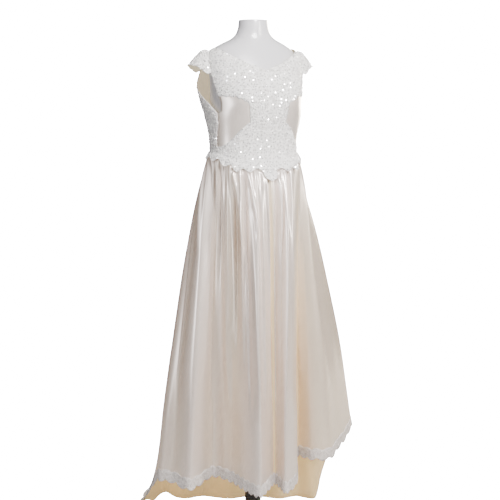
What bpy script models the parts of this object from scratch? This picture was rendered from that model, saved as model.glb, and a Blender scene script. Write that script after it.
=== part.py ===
"""Wedding dress on a limbless dress form. Metres, Z up, the form faces -Y."""
import bpy
import math
from mathutils import Vector

for ob in list(bpy.data.objects):
    bpy.data.objects.remove(ob, do_unlink=True)

# Named sizes
CLOTH = 0.0016
LACE = 0.0011
LACE_LIFT = 0.0006
HEM_LACE_LIFT = 0.0020
SEAM = 0.0002
SECTION_POWER = 2.25
BUST_LIFT = 0.011
BUST_ANGLE = 36.0
BUST_HEIGHT = 1.485
ARMHOLE_STAND = 0.027
ARMHOLE_ANGLE = 116.0
ARMHOLE_HEIGHT = 1.55
SIDE_SEAM = 78.0
PRINCESS = 0.40
BACK_PRINCESS = 0.45
SWEEP = 24.0
COLUMN_STEP = 3.0
GATHERS = 30
GATHER_DEPTH = 0.0042
KNEE_SHARE = 0.80
KNEE_LOWEST = 0.010
FOLD_POWER = 1.15
SIDE_FOLD_TURN = 79.0
SIDE_FOLD_POWER = 2.4
RIPPLE_HEIGHT = 0.016
HEM_LACE_OVER = 0.030
HEM_SCALLOP = 0.012
SCALLOP_COLUMNS = 5
POLE_RADIUS = 0.0285
BASE_RADIUS = 0.150
BASE_HEIGHT = 0.012
FORM_BOTTOM = 1.10

# Outer bodice sections: height, half_width, front_depth, back_depth
BODY = [
    (1.200, 0.185, 0.160, 0.150),
    (1.245, 0.172, 0.141, 0.130),
    (1.285, 0.158, 0.126, 0.114),
    (1.318, 0.1505, 0.117, 0.106),
    (1.360, 0.153, 0.119, 0.104),
    (1.400, 0.158, 0.126, 0.107),
    (1.450, 0.166, 0.134, 0.113),
    (1.490, 0.169, 0.136, 0.117),
    (1.540, 0.1715, 0.126, 0.119),
    (1.580, 0.174, 0.112, 0.117),
    (1.615, 0.174, 0.098, 0.110),
    (1.640, 0.168, 0.086, 0.099),
    (1.656, 0.157, 0.078, 0.089),
    (1.670, 0.140, 0.071, 0.080),
    (1.684, 0.112, 0.064, 0.070),
    (1.700, 0.078, 0.057, 0.060),
    (1.716, 0.061, 0.053, 0.054),
    (1.736, 0.053, 0.050, 0.050),
    (1.762, 0.0495, 0.047, 0.047),
]

# Form sections: height, half_width, front_depth, back_depth
FORM = [
    (1.100, 0.140, 0.106, 0.098),
    (1.112, 0.149, 0.115, 0.106),
    (1.150, 0.153, 0.119, 0.109),
    (1.200, 0.152, 0.118, 0.107),
    (1.260, 0.146, 0.112, 0.101),
    (1.318, 0.1420, 0.109, 0.098),
    (1.360, 0.1440, 0.111, 0.096),
    (1.400, 0.149, 0.117, 0.099),
    (1.450, 0.155, 0.125, 0.105),
    (1.490, 0.156, 0.127, 0.109),
    (1.540, 0.154, 0.118, 0.111),
    (1.580, 0.156, 0.105, 0.109),
    (1.615, 0.161, 0.091, 0.102),
    (1.640, 0.1595, 0.080, 0.092),
    (1.656, 0.150, 0.0725, 0.083),
    (1.670, 0.134, 0.066, 0.075),
    (1.684, 0.108, 0.060, 0.066),
    (1.700, 0.0755, 0.054, 0.057),
    (1.716, 0.060, 0.051, 0.052),
    (1.736, 0.0525, 0.0495, 0.0495),
    (1.762, 0.0495, 0.047, 0.047),
]

# Front half edges: inner_angle, inner_height, outer_angle, outer_height
FRONT_EDGES = [
    (0.0, 1.2453, 77.88, 1.3183),
    (0.0, 1.3, 76.88, 1.345),
    (0.0, 1.36, 74.5, 1.38),
    (0.0, 1.43, 70.0, 1.42),
    (0.0, 1.482, 70.0, 1.445),
    (0.0, 1.536, 64.5, 1.456),
    (0.0, 1.588, 64.0, 1.484),
    (12.0, 1.6, 68.5, 1.515),
    (32.0, 1.613, 74.0, 1.552),
    (50.0, 1.631, 77.5, 1.588),
    (62.0, 1.644, 81.0, 1.62),
    (74.0, 1.658, 85.5, 1.643),
    (89.88, 1.668, 89.88, 1.655),
]

# Back half edges: inner_angle, inner_height, outer_angle, outer_height
BACK_EDGES = [
    (179.88, 1.3183, 78.12, 1.3183),
    (179.88, 1.345, 77.12, 1.345),
    (179.88, 1.38, 74.74, 1.38),
    (179.88, 1.42, 70.24, 1.42),
    (179.88, 1.465, 70.24, 1.445),
    (179.88, 1.51, 80.0, 1.474),
    (179.88, 1.548, 97.0, 1.508),
    (168.0, 1.555, 110.0, 1.54),
    (152.0, 1.571, 115.0, 1.57),
    (135.0, 1.597, 114.0, 1.595),
    (120.0, 1.625, 108.0, 1.62),
    (104.0, 1.652, 98.0, 1.645),
    (90.12, 1.668, 90.12, 1.655),
]

# Rows of the bodice panels, counted along the edge tables
BODICE_ROWS = [0, 0.6, 1.2, 1.8, 2.5, 3.2, 3.8, 4.4, 5, 5.5, 6, 6.6, 7.3, 8.1, 9, 10, 11, 12]

# Lace on the side panels: first and last row of each strip between two columns
BUST_START = [(7, 17), (7, 17), (8, 17), (9, 17), (10, 17), (12, 17)]
SIDE_START = [(2, 9), (2, 9), (2, 9), (2, 9), (2, 9)]

# Lower edge of the basque lace: angle, height
BASQUE_EDGE = [
    (0.0, 1.226), (7.0, 1.236), (12.0, 1.262), (20.0, 1.266), (28.0, 1.256), (36.0, 1.268),
    (44.0, 1.258), (52.0, 1.281), (60.0, 1.274), (70.0, 1.298), (78.0, 1.290), (88.0, 1.303),
    (96.0, 1.293), (106.0, 1.304), (116.0, 1.293), (126.0, 1.304), (136.0, 1.292),
    (146.0, 1.304), (156.0, 1.292), (166.0, 1.304), (174.0, 1.293), (180.0, 1.290),
]

# Upper edge of the basque lace: angle, height
BASQUE_TOP = [
    (0.0, 1.392), (36.0, 1.392), (52.0, 1.366), (72.0, 1.338), (90.0, 1.342), (139.0, 1.342), (180.0, 1.342),
]

# Skirt folds: turn, hem_across, hem_away, hem_height, knee_across, knee_away, knee_height
# A knee height of 0 places the knee on the straight fall of that fold
FOLDS = [
    (-88.0, -0.325, -0.145, 0.200, 0, 0, 0),
    (-79.0, -0.278, -0.165, 0.200, 0, 0, 0),
    (-68.0, -0.213, -0.224, 0.195, 0, 0, 0),
    (-51.0, -0.143, -0.115, 0.202, 0, 0, 0),
    (-36.0, -0.079, -0.155, 0.200, 0, 0, 0),
    (-18.0, -0.027, -0.243, 0.200, 0, 0, 0),
    (0.0, 0.023, -0.300, 0.198, 0, 0, 0),
    (12.0, 0.050, -0.240, 0.200, 0, 0, 0),
    (24.0, 0.073, -0.192, 0.205, 0, 0, 0),
    (36.0, 0.094, -0.226, 0.200, 0, 0, 0),
    (49.0, 0.112, -0.262, 0.198, 0, 0, 0),
    (64.0, 0.152, -0.155, 0.202, 0, 0, 0),
    (79.0, 0.158, 0.045, 0.220, 0, 0, 0),
    (94.0, 0.210, -0.025, 0.235, 0, 0, 0),
    (104.0, 0.275, -0.014, 0.235, 0, 0, 0),
    (112.0, 0.312, 0.100, 0.235, 0, 0, 0),
    (120.0, 0.347, 0.208, 0.235, 0, 0, 0),
    (130.0, 0.389, 0.388, 0.235, 0, 0, 0),
    (138.0, 0.385, 0.500, 0.170, 0.330, 0.370, 0.330),
    (145.0, 0.345, 0.600, 0.070, 0.278, 0.310, 0.190),
    (153.0, 0.275, 0.700, 0.0, 0.236, 0.178, 0.012),
    (162.0, 0.240, 0.860, 0.0, 0.170, 0.186, 0.012),
    (172.0, 0.120, 0.950, 0.0, 0.098, 0.162, 0.012),
    (182.0, -0.020, 0.990, 0.0, 0.010, 0.186, 0.012),
    (192.0, -0.160, 0.950, 0.0, -0.085, 0.162, 0.012),
    (202.0, -0.270, 0.860, 0.0, -0.175, 0.186, 0.012),
    (214.0, -0.345, 0.660, 0.0, -0.258, 0.164, 0.014),
    (228.0, -0.365, 0.440, 0.0, -0.318, 0.182, 0.030),
    (240.0, -0.415, 0.200, 0.0, -0.335, 0.130, 0.110),
    (252.0, -0.385, 0.050, 0.070, -0.322, 0.050, 0.250),
    (262.0, -0.345, -0.060, 0.160, 0, 0, 0),
]

# Flare of the fall: share of the height, share of the spread
FLARE = [
    (0.0, 0.0), (0.042, 0.09), (0.104, 0.21), (0.275, 0.43), (0.434, 0.58), (0.594, 0.72),
    (0.788, 0.87), (1.0, 1.0),
]

# Rows of the skirt: share of the way to the knee, then share from the knee to the hem
FALL_ROWS = [0.0, 0.03, 0.085, 0.165, 0.28, 0.42, 0.58, 0.75, 0.90, 1.0]
LAY_ROWS = [0.20, 0.48, 0.76, 1.0]

# Skirt panels: name, first turn, last turn
SKIRT_PANELS = [
    ("skirt_front", -51.0, 78.0),
    ("skirt_side_left", 78.0, 147.0),
    ("skirt_back_left", 147.0, 204.0),
    ("skirt_back_right", 204.0, 258.0),
    ("skirt_side_right", 258.0, 309.0),
]

# Sleeve: share along the armhole, armhole angle, armhole height, reach, drop
SLEEVE = [
    (0.0, 77.0, 1.583, 0.012, 0.004),
    (0.15, 80.2, 1.612, 0.034, 0.012),
    (0.32, 84.9, 1.64, 0.056, 0.032),
    (0.5, 90.2, 1.655, 0.07, 0.046),
    (0.68, 98.0, 1.645, 0.06, 0.037),
    (0.85, 109.4, 1.615, 0.038, 0.018),
    (1.0, 114.3, 1.59, 0.014, 0.006),
]
SLEEVE_PUFF = 0.012


def smooth(table, x, column):
    last = len(table) - 1
    if x <= table[0][0]:
        return table[0][column]
    if x >= table[last][0]:
        return table[last][column]
    i = 0
    while table[i + 1][0] < x:
        i += 1
    x0 = table[i][0]
    x1 = table[i + 1][0]
    y0 = table[i][column]
    y1 = table[i + 1][column]
    chord = (y1 - y0) / (x1 - x0)
    m0 = chord
    m1 = chord
    if i > 0:
        before = (y0 - table[i - 1][column]) / (x0 - table[i - 1][0])
        m0 = 0.0 if before * chord <= 0 else 2 * before * chord / (before + chord)
    if i + 2 <= last:
        after = (table[i + 2][column] - y1) / (table[i + 2][0] - x1)
        m1 = 0.0 if after * chord <= 0 else 2 * after * chord / (after + chord)
    h = x1 - x0
    t = (x - x0) / h
    a = (1 + 2 * t) * (1 - t) ** 2 * y0 + t * (1 - t) ** 2 * h * m0
    b = t * t * (3 - 2 * t) * y1 - t * t * (1 - t) * h * m1
    return a + b


def section(table, angle, height):
    half = smooth(table, height, 1)
    turn = math.radians(angle)
    deep = smooth(table, height, 2) if math.cos(turn) >= 0 else smooth(table, height, 3)
    a = (abs(math.sin(turn)) / half) ** SECTION_POWER
    b = (abs(math.cos(turn)) / deep) ** SECTION_POWER
    radius = (a + b) ** (-1 / SECTION_POWER)
    for side in (-1, 1):
        u = (angle - side * BUST_ANGLE) / 17
        v = (height - BUST_HEIGHT) / 0.042
        radius += BUST_LIFT * math.exp(-u * u - v * v)
    if table is BODY:
        u = (abs((angle + 180) % 360 - 180) - ARMHOLE_ANGLE) / 24
        v = (height - ARMHOLE_HEIGHT) / (0.06 if height > ARMHOLE_HEIGHT else 0.09)
        radius += ARMHOLE_STAND * math.exp(-u * u - v * v)
    return Vector((radius * math.sin(turn), -radius * math.cos(turn), height))


def body_point(angle, height, out=0.0):
    here = section(BODY, angle, height)
    if out == 0.0:
        return here
    return here + body_normal(angle, height) * out


def body_normal(angle, height):
    around = section(BODY, angle + 0.5, height) - section(BODY, angle - 0.5, height)
    up = section(BODY, angle, height + 0.003) - section(BODY, angle, height - 0.003)
    return around.cross(up).normalized()


def material(name, colour, rough, metal):
    mat = bpy.data.materials.new(name)
    mat.use_nodes = True
    node = mat.node_tree.nodes["Principled BSDF"]
    node.inputs["Base Color"].default_value = (*colour, 1.0)
    node.inputs["Roughness"].default_value = rough
    node.inputs["Metallic"].default_value = metal
    return mat


group = bpy.data.collections.new("wedding_dress_on_form")
bpy.context.scene.collection.children.link(group)
SATIN = (0.86, 0.83, 0.78)
LACE_COLOUR = (0.90, 0.88, 0.85)
FORM_COLOUR = (0.62, 0.61, 0.62)
POLE_COLOUR = (0.06, 0.06, 0.06)


def add_object(name, verts, faces, mat):
    mesh = bpy.data.meshes.new(name)
    mesh.from_pydata(verts, [], faces)
    mesh.validate()
    mesh.update()
    mesh.polygons.foreach_set("use_smooth", [True] * len(mesh.polygons))
    ob = bpy.data.objects.new(name, mesh)
    ob.data.materials.append(mat)
    group.objects.link(ob)
    return ob


def wall(name, outer, inner, quads, mat):
    """One cloth wall: outer and inner points with the same faces, closed by a rim."""
    count = len(outer)
    faces = []
    edges = {}
    for quad in quads:
        k = quad.index(min(quad))
        turned_quad = tuple(quad[k:]) + tuple(quad[:k])
        for tri in (turned_quad[:3], (turned_quad[0], turned_quad[2], turned_quad[3])):
            faces.append(tri)
            faces.append(tuple(count + i for i in reversed(tri)))
        for k in range(len(quad)):
            a = quad[k]
            b = quad[(k + 1) % len(quad)]
            edges[(a, b)] = edges.get((a, b), 0) + 1
    for (a, b) in edges:
        if (b, a) not in edges:
            faces.append((b, a, count + a, count + b))
    return add_object(name, [tuple(p) for p in outer + inner], faces, mat)


def grid_quads(rows, columns):
    quads = []
    for r in range(rows - 1):
        for c in range(columns - 1):
            i = r * columns + c
            quads.append((i, i + 1, i + columns + 1, i + columns))
    return quads


def edge_at(table, row):
    i = min(int(row), len(table) - 2)
    t = row - i
    pair = []
    for column in range(4):
        known = [(k, *table[k]) for k in range(len(table))]
        pair.append(smooth(known, i + t, column + 1))
    return pair


def across(table, row, share):
    inner_angle, inner_height, outer_angle, outer_height = edge_at(table, row)
    angle = inner_angle + (outer_angle - inner_angle) * share
    height = inner_height + (outer_height - inner_height) * share
    return angle, height


def row_width(table, row):
    a = body_point(*across(table, row, 0.0))
    b = body_point(*across(table, row, 0.5))
    c = body_point(*across(table, row, 1.0))
    return (a - b).length + (b - c).length


def panel_point(table, at, share):
    """Point and outward direction on a panel's own facets, between two of its rows."""
    i = 0
    while i < len(BODICE_ROWS) - 2 and BODICE_ROWS[i + 1] < at:
        i += 1
    t = (at - BODICE_ROWS[i]) / (BODICE_ROWS[i + 1] - BODICE_ROWS[i])
    low = across(table, BODICE_ROWS[i], share)
    high = across(table, BODICE_ROWS[i + 1], share)
    point = body_point(*low).lerp(body_point(*high), t)
    normal = body_normal(*low).lerp(body_normal(*high), t).normalized()
    return point, normal


def patch(table, rows, shares, low, high, side, lift, thick):
    """Points of a panel between two shares of the row, on one side of the body."""
    outer = []
    inner = []
    for row in rows:
        gap = SEAM / row_width(table, row)
        start = low + (gap if low > 0 else 0)
        end = high - (gap if high < 1 else 0)
        for k in range(shares + 1):
            share = start + (end - start) * k / shares
            point, normal = panel_point(table, row, share)
            top = point + normal * (lift + thick) if lift > 0 else point
            under = point + normal * lift if lift > 0 else point - normal * thick
            outer.append(Vector((side * top.x, top.y, top.z)))
            inner.append(Vector((side * under.x, under.y, under.z)))
    return outer, inner


def side_panel(name, table, rows, shares, low, high, side, lift, thick, mat, strips=None):
    """A panel to one side of the princess seam; strips keeps only some rows of each column."""
    outer, inner = patch(table, rows, shares, low, high, side, lift, thick)
    quads = grid_quads(len(rows), shares + 1)
    if strips is not None:
        quads = [q for q in quads
                 if strips[q[0] % (shares + 1)][0] <= q[0] // (shares + 1) < strips[q[0] % (shares + 1)][1]]
        used = sorted({i for q in quads for i in q})
        place_of = {i: n for n, i in enumerate(used)}
        quads = [tuple(place_of[i] for i in q) for q in quads]
        outer = [outer[i] for i in used]
        inner = [inner[i] for i in used]
    outward = table[0][2] > table[0][0]
    if (side > 0) != outward:
        quads = [tuple(reversed(q)) for q in quads]
    return wall(name, outer, inner, quads, mat)


def centre_panel(name, rows, shares, high, lift, thick, mat, v_row):
    """The front centre: both halves share their points on the centre line below the neck."""
    outer = []
    inner = []
    quads = []
    index = {}
    for side in (1, -1):
        half_outer, half_inner = patch(FRONT_EDGES, rows, shares, 0.0, high, side, lift, thick)
        for r, row in enumerate(rows):
            for k in range(shares + 1):
                key = (r, k, side)
                if k == 0 and row <= v_row + 1e-6:
                    key = (r, 0, 0)
                if key not in index:
                    index[key] = len(outer)
                    here = half_outer[r * (shares + 1) + k]
                    below = half_inner[r * (shares + 1) + k]
                    if key[2] == 0:
                        here.x = 0.0
                        below.x = 0.0
                    outer.append(here)
                    inner.append(below)
        for r in range(len(rows) - 1):
            for k in range(shares):
                keys = [(r, k), (r, k + 1), (r + 1, k + 1), (r + 1, k)]
                found = []
                for (i, j) in keys:
                    middle = j == 0 and rows[i] <= v_row + 1e-6
                    found.append(index[(i, 0, 0)] if middle else index[(i, j, side)])
                quads.append(tuple(found) if side > 0 else tuple(reversed(found)))
    return wall(name, outer, inner, quads, mat)


satin = material("ivory_satin", SATIN, 0.38, 0.0)
lace = material("corded_lace", LACE_COLOUR, 0.6, 0.0)
form_mat = material("form_gloss", FORM_COLOUR, 0.25, 0.0)
pole_mat = material("stand_metal", POLE_COLOUR, 0.45, 0.0)

# Bodice panels
centre_panel("bodice_front_centre", BODICE_ROWS, 5, PRINCESS, 0.0, CLOTH, satin, 6)
for side, word in ((1, "left"), (-1, "right")):
    side_panel("bodice_side_front_" + word, FRONT_EDGES, BODICE_ROWS, 6, PRINCESS, 1.0, side,
               0.0, CLOTH, satin)
    side_panel("bodice_side_back_" + word, BACK_EDGES, BODICE_ROWS, 5, BACK_PRINCESS, 1.0, side,
               0.0, CLOTH, satin)
    side_panel("bodice_back_" + word, BACK_EDGES, BODICE_ROWS, 4, 0.0, BACK_PRINCESS, side, 0.0, CLOTH, satin)

# Lace lying on the bodice panels, from their points moved out
LACE_ROWS = [2.5, 3.2, 3.8, 4.4, 5, 5.5, 6, 6.6, 7.3, 8.1, 9, 10, 11, 12]
centre_panel("lace_front_centre", LACE_ROWS, 5, PRINCESS, LACE_LIFT, LACE, lace, 6)
for side, word in ((1, "left"), (-1, "right")):
    side_panel("lace_bust_" + word, FRONT_EDGES, BODICE_ROWS, 6, PRINCESS, 1.0, side,
               LACE_LIFT, LACE, lace, BUST_START)
    side_panel("lace_side_back_" + word, BACK_EDGES, BODICE_ROWS, 5, BACK_PRINCESS, 1.0, side,
               LACE_LIFT, LACE, lace, SIDE_START)


def seam_height(angle):
    turn = abs((angle + 180) % 360 - 180)
    if turn >= SIDE_SEAM:
        return 1.318
    return 1.245 + (1.318 - 1.245) * turn / SIDE_SEAM


# Skirt grid, in a frame turned by the sweep of the train
turn = math.radians(SWEEP)
ACROSS = Vector((math.cos(turn), -math.sin(turn), 0))
AWAY = Vector((math.sin(turn), math.cos(turn), 0))


def place(a, b, height):
    return ACROSS * a + AWAY * b + Vector((0, 0, height))


def loop_value(points, x):
    """A closed smooth curve through points keyed by turn."""
    n = len(points)
    keys = [p[0] for p in points]
    x = keys[0] + (x - keys[0]) % 360
    i = n - 1
    for k in range(n - 1):
        if keys[k] <= x < keys[k + 1]:
            i = k
            break
    k0 = keys[i]
    k1 = keys[i + 1] if i + 1 < n else keys[0] + 360
    p0 = points[i][1]
    p1 = points[(i + 1) % n][1]
    before = points[(i - 1) % n][1]
    after = points[(i + 2) % n][1]
    kb = keys[i - 1] if i > 0 else keys[-1] - 360
    ka = keys[(i + 2) % n] + (360 if i + 2 >= n else 0)
    t = (x - k0) / (k1 - k0)
    m0 = (p1 - before) * ((k1 - k0) / (k1 - kb))
    m1 = (after - p0) * ((k1 - k0) / (ka - k0))
    a = p0 * ((1 + 2 * t) * (1 - t) ** 2) + m0 * (t * (1 - t) ** 2)
    b = p1 * (t * t * (3 - 2 * t)) - m1 * (t * t * (1 - t))
    return a + b


def flare(share):
    return smooth(FLARE, share, 1)


hem_points = []
knee_points = []
for fold in FOLDS:
    angle = fold[0] - SWEEP
    waist = body_point(angle, seam_height(angle))
    hem = place(fold[1], fold[2], fold[3])
    if fold[6] == 0:
        knee = waist.lerp(hem, flare(KNEE_SHARE))
        knee.z = waist.z + (hem.z - waist.z) * KNEE_SHARE
    else:
        knee = place(fold[4], fold[5], fold[6])
    hem_points.append((fold[0], hem))
    knee_points.append((fold[0], knee))


def averaged(points, x, spread):
    total = Vector((0, 0, 0))
    weight = 0.0
    for k in range(-6, 7):
        w = math.exp(-(k / 3.2) ** 2)
        total += loop_value(points, x + k * spread / 6) * w
        weight += w
    return total / weight


columns = int(360 / COLUMN_STEP)
rows = len(FALL_ROWS) + len(LAY_ROWS)
FIRST_TURN = -51.0
grid = []
for c in range(columns):
    x = FIRST_TURN + c * COLUMN_STEP
    angle = x - SWEEP
    top = seam_height(angle) - 0.0004
    waist = body_point(angle, top)
    out = body_normal(angle, top)
    out.z = 0
    out.normalize()
    knee = loop_value(knee_points, x)
    knee.z = max(knee.z, KNEE_LOWEST)
    calm = averaged(knee_points, x, 30)
    hem = loop_value(hem_points, x)
    hem.z = max(hem.z, 0.0)
    wave = 0.5 + 0.5 * math.sin(math.radians(x * GATHERS + 20 * math.sin(math.radians(x * 3))))
    deep = GATHER_DEPTH * (1 + 0.35 * math.sin(math.radians(x * 5 + 40)))
    side_fold = math.exp(-((x - SIDE_FOLD_TURN) / 15) ** 2)
    power = FOLD_POWER + (SIDE_FOLD_POWER - FOLD_POWER) * side_fold
    column = []
    for share in FALL_ROWS:
        spread = flare(share * KNEE_SHARE) / flare(KNEE_SHARE)
        point = waist + (calm - waist) * spread + (knee - calm) * spread ** power
        height = waist.z + (knee.z - waist.z) * share
        ease = min(1.0, share / 0.03) * max(0.0, 1 - share / 0.8) ** 1.6
        point = Vector((point.x, point.y, height)) + out * (deep * wave * ease * 1.0)
        column.append(point)
    on_floor = max(0.0, 1 - hem.z / 0.05)
    ripple = max(0.0, math.sin(math.radians(x * 18))) * RIPPLE_HEIGHT * on_floor
    for share in LAY_ROWS:
        point = knee.lerp(hem, share)
        straight = knee.z + (hem.z - knee.z) * share
        floor = CLOTH + ripple * (1 - share) ** 0.7 + knee.z * max(0.0, 1 - share / 0.45) ** 2
        point.z = max(straight * (1 - on_floor) + floor * on_floor, CLOTH)
        column.append(point)
    grid.append(column)

normals = []
for c in range(columns):
    line = []
    for r in range(rows):
        around = grid[(c + 1) % columns][r] - grid[c - 1][r]
        low = grid[c][min(r + 1, rows - 1)]
        high = grid[c][max(r - 1, 0)]
        line.append(around.cross(high - low).normalized())
    normals.append(line)


def under_point(c, r):
    point = grid[c][r] - normals[c][r] * CLOTH
    if r >= len(FALL_ROWS):
        point.z = max(point.z, 0.0)
        if grid[c][r].z <= CLOTH + 1e-6:
            point = Vector((grid[c][r].x, grid[c][r].y, 0.0))
    return point


for name, first, last in SKIRT_PANELS:
    c0 = round((first - FIRST_TURN) / COLUMN_STEP)
    c1 = round((last - FIRST_TURN) / COLUMN_STEP)
    outer = []
    inner = []
    for r in range(rows):
        for c in range(c0, c1 + 1):
            here = grid[c % columns][r]
            shift = Vector((0, 0, 0))
            if c == c0:
                shift = (grid[(c + 1) % columns][r] - here).normalized() * SEAM
            if c == c1:
                shift = (grid[(c - 1) % columns][r] - here).normalized() * SEAM
            outer.append(here + shift)
            inner.append(under_point(c % columns, r) + shift)
    quads = [tuple(reversed(q)) for q in grid_quads(rows, c1 - c0 + 1)]
    wall(name, outer, inner, quads, satin)

# Scalloped hem lace, on the last row of each skirt panel
LACE_SPLIT = 2


def hem_point(c, share, over):
    """Point at a share between column c and the next, measured along the last row."""
    a = c % columns
    b = (c + 1) % columns
    low_a = grid[a][rows - 1]
    low_b = grid[b][rows - 1]
    high_a = grid[a][rows - 2]
    high_b = grid[b][rows - 2]
    low = low_a.lerp(low_b, share)
    high = high_a.lerp(high_b, share)
    normal = normals[a][rows - 1].lerp(normals[b][rows - 1], share).normalized()
    if over >= 0:
        return low + (low - high).normalized() * over, normal
    v = 1 + over / (low - high).length
    if share >= v:
        return high_a * (1 - share) + high_b * (share - v) + low_b * v, normal
    return high_a * (1 - v) + low_b * share + low_a * (v - share), normal


for name, first, last in SKIRT_PANELS:
    c0 = round((first - FIRST_TURN) / COLUMN_STEP)
    c1 = round((last - FIRST_TURN) / COLUMN_STEP)
    outer = []
    inner = []
    count = (c1 - c0) * LACE_SPLIT
    waves = max(1, round(count / SCALLOP_COLUMNS))
    for r in range(2):
        for k in range(count + 1):
            c = c0 + min(k // LACE_SPLIT, c1 - c0 - 1)
            share = k / LACE_SPLIT - (c - c0)
            line = grid[(c0 + k // LACE_SPLIT) % columns]
            over = -min(HEM_LACE_OVER, 0.8 * (line[-1] - line[-2]).length)
            if r == 1:
                over = HEM_SCALLOP * abs(math.sin(math.pi * k * waves / count)) + 0.0005
            point, normal = hem_point(c, share, over)
            shift = Vector((0, 0, 0))
            if k == 0 or k == count:
                step = 1 if k == 0 else -1
                near = hem_point(c, share + step / LACE_SPLIT, over)[0]
                shift = (near - point).normalized() * SEAM * 1.5
            outer.append(point + shift + normal * (HEM_LACE_LIFT + LACE))
            inner.append(point + shift + normal * HEM_LACE_LIFT)
    quads = [tuple(reversed(q)) for q in grid_quads(2, count + 1)]
    wall(name.replace("skirt", "hem_lace"), outer, inner, quads, lace)

# Basque lace: a band round the waist with a pointed scalloped lower edge over the gathers
BAND_COLUMNS = 60
BAND_ROWS = [0.0, 0.2, 0.4, 0.6, 0.8, 1.0]
BAND_LIFT = 0.0022
BAND_CLEAR = 0.0010


def skirt_reach(angle, height):
    """Distance of the skirt's outer points from the axis at an angle and a height."""
    turn = math.radians(angle)
    best = 0.0
    for line in grid:
        for r in range(4):
            low = line[r + 1]
            high = line[r]
            if low.z <= height <= high.z:
                t = (height - low.z) / (high.z - low.z)
                p = low.lerp(high, t)
                ahead = p.x * math.sin(turn) - p.y * math.cos(turn)
                if ahead > 0 and abs(math.sin(math.atan2(p.x, -p.y) - turn)) < 0.06:
                    best = max(best, math.hypot(p.x, p.y))
    return best


outer = []
inner = []
for share in BAND_ROWS:
    for k in range(BAND_COLUMNS):
        angle = k * 360 / BAND_COLUMNS - 180
        size = abs(angle)
        high = smooth(BASQUE_TOP, size, 1)
        low = smooth(BASQUE_EDGE, size, 1)
        seam = seam_height(angle)
        height = high + (low - high) * share
        normal = body_normal(angle, max(height, seam))
        if height >= seam:
            under = body_point(angle, height) + normal * BAND_LIFT
        else:
            around = Vector((math.sin(math.radians(angle)), -math.cos(math.radians(angle)), 0))
            reach = max(skirt_reach(angle + k, height) for k in (-6, -3, 0, 3, 6))
            above = body_point(angle, seam) + normal * BAND_LIFT
            reach = max(reach + BAND_CLEAR, math.hypot(above.x, above.y))
            under = around * reach + Vector((0, 0, height))
            normal = around
        inner.append(under)
        outer.append(under + normal * LACE)
quads = []
for r in range(len(BAND_ROWS) - 1):
    for k in range(BAND_COLUMNS):
        n = (k + 1) % BAND_COLUMNS
        quads.append((r * BAND_COLUMNS + k, (r + 1) * BAND_COLUMNS + k,
                      (r + 1) * BAND_COLUMNS + n, r * BAND_COLUMNS + n))
wall("lace_basque", outer, inner, quads, lace)

# Cap sleeves
SLEEVE_COLUMNS = 14
SLEEVE_ROWS = [0.0, 0.16, 0.36, 0.6, 0.82, 1.0]
for side, word in ((1, "left"), (-1, "right")):
    lines = []
    for share in SLEEVE_ROWS:
        line = []
        for k in range(SLEEVE_COLUMNS + 1):
            t = k / SLEEVE_COLUMNS
            angle = smooth(SLEEVE, t, 1)
            height = smooth(SLEEVE, t, 2)
            reach = smooth(SLEEVE, t, 3)
            drop = smooth(SLEEVE, t, 4)
            point = body_point(angle, height, 0.0)
            point.x += 0.0020 + reach * share
            point.y += 0.012 * math.sin(math.pi * t) * share
            puff = SLEEVE_PUFF * math.sin(math.pi * t) * math.sin(math.pi * min(1.0, share * 1.15 + 0.02))
            point.z += puff - drop * share ** 1.5
            line.append(Vector((side * point.x, point.y, point.z)))
        lines.append(line)
    outer = []
    inner = []
    for r, line in enumerate(lines):
        for k, point in enumerate(line):
            along = line[min(k + 1, SLEEVE_COLUMNS)] - line[max(k - 1, 0)]
            down = lines[min(r + 1, len(lines) - 1)][k] - lines[max(r - 1, 0)][k]
            normal = along.cross(down).normalized() * side
            if normal.z < 0:
                normal = -normal
            outer.append(point)
            inner.append(point - normal * CLOTH)
    quads = grid_quads(len(lines), SLEEVE_COLUMNS + 1)
    if side > 0:
        quads = [tuple(reversed(q)) for q in quads]
    wall("sleeve_" + word, outer, inner, quads, lace)

# Dress form, a smooth closed torso with a flat neck and a flat bottom
FORM_SIDES = 26
FORM_HEIGHTS = [row[0] for row in FORM]
verts = []
faces = []
for height in FORM_HEIGHTS:
    for k in range(FORM_SIDES):
        verts.append(tuple(section(FORM, k * 360 / FORM_SIDES - 180, height)))
for r in range(len(FORM_HEIGHTS) - 1):
    for k in range(FORM_SIDES):
        n = (k + 1) % FORM_SIDES
        a = r * FORM_SIDES
        b = a + FORM_SIDES
        faces.append((a + k, a + n, b + n, b + k))
faces.append(tuple(reversed(range(FORM_SIDES))))
faces.append(tuple(range((len(FORM_HEIGHTS) - 1) * FORM_SIDES, len(FORM_HEIGHTS) * FORM_SIDES)))
add_object("form_torso", verts, faces, form_mat)


def turned(name, radius, low, high, mat, sides, bevel):
    bpy.ops.mesh.primitive_cylinder_add(vertices=sides, radius=radius, depth=high - low,
                                        location=(0, 0, (low + high) / 2))
    ob = bpy.context.active_object
    ob.name = name
    ob.data.name = name
    ob.data.transform(ob.matrix_world)
    ob.matrix_world.identity()
    for owner in list(ob.users_collection):
        owner.objects.unlink(ob)
    group.objects.link(ob)
    ob.data.materials.append(mat)
    if bevel > 0:
        mod = ob.modifiers.new("edge", "BEVEL")
        mod.width = bevel
        mod.segments = 1
        mod.limit_method = "ANGLE"
        mod.angle_limit = math.radians(40)
    for face in ob.data.polygons:
        face.use_smooth = True
    return ob


turned("stand_base", BASE_RADIUS, 0.0, BASE_HEIGHT, pole_mat, 40, 0.003)
turned("stand_pole", POLE_RADIUS, BASE_HEIGHT + 0.0003, FORM_BOTTOM - 0.0153, pole_mat, 24, 0.0)
turned("stand_collar", 0.045, FORM_BOTTOM - 0.015, FORM_BOTTOM - 0.0003, pole_mat, 24, 0.0)
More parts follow.
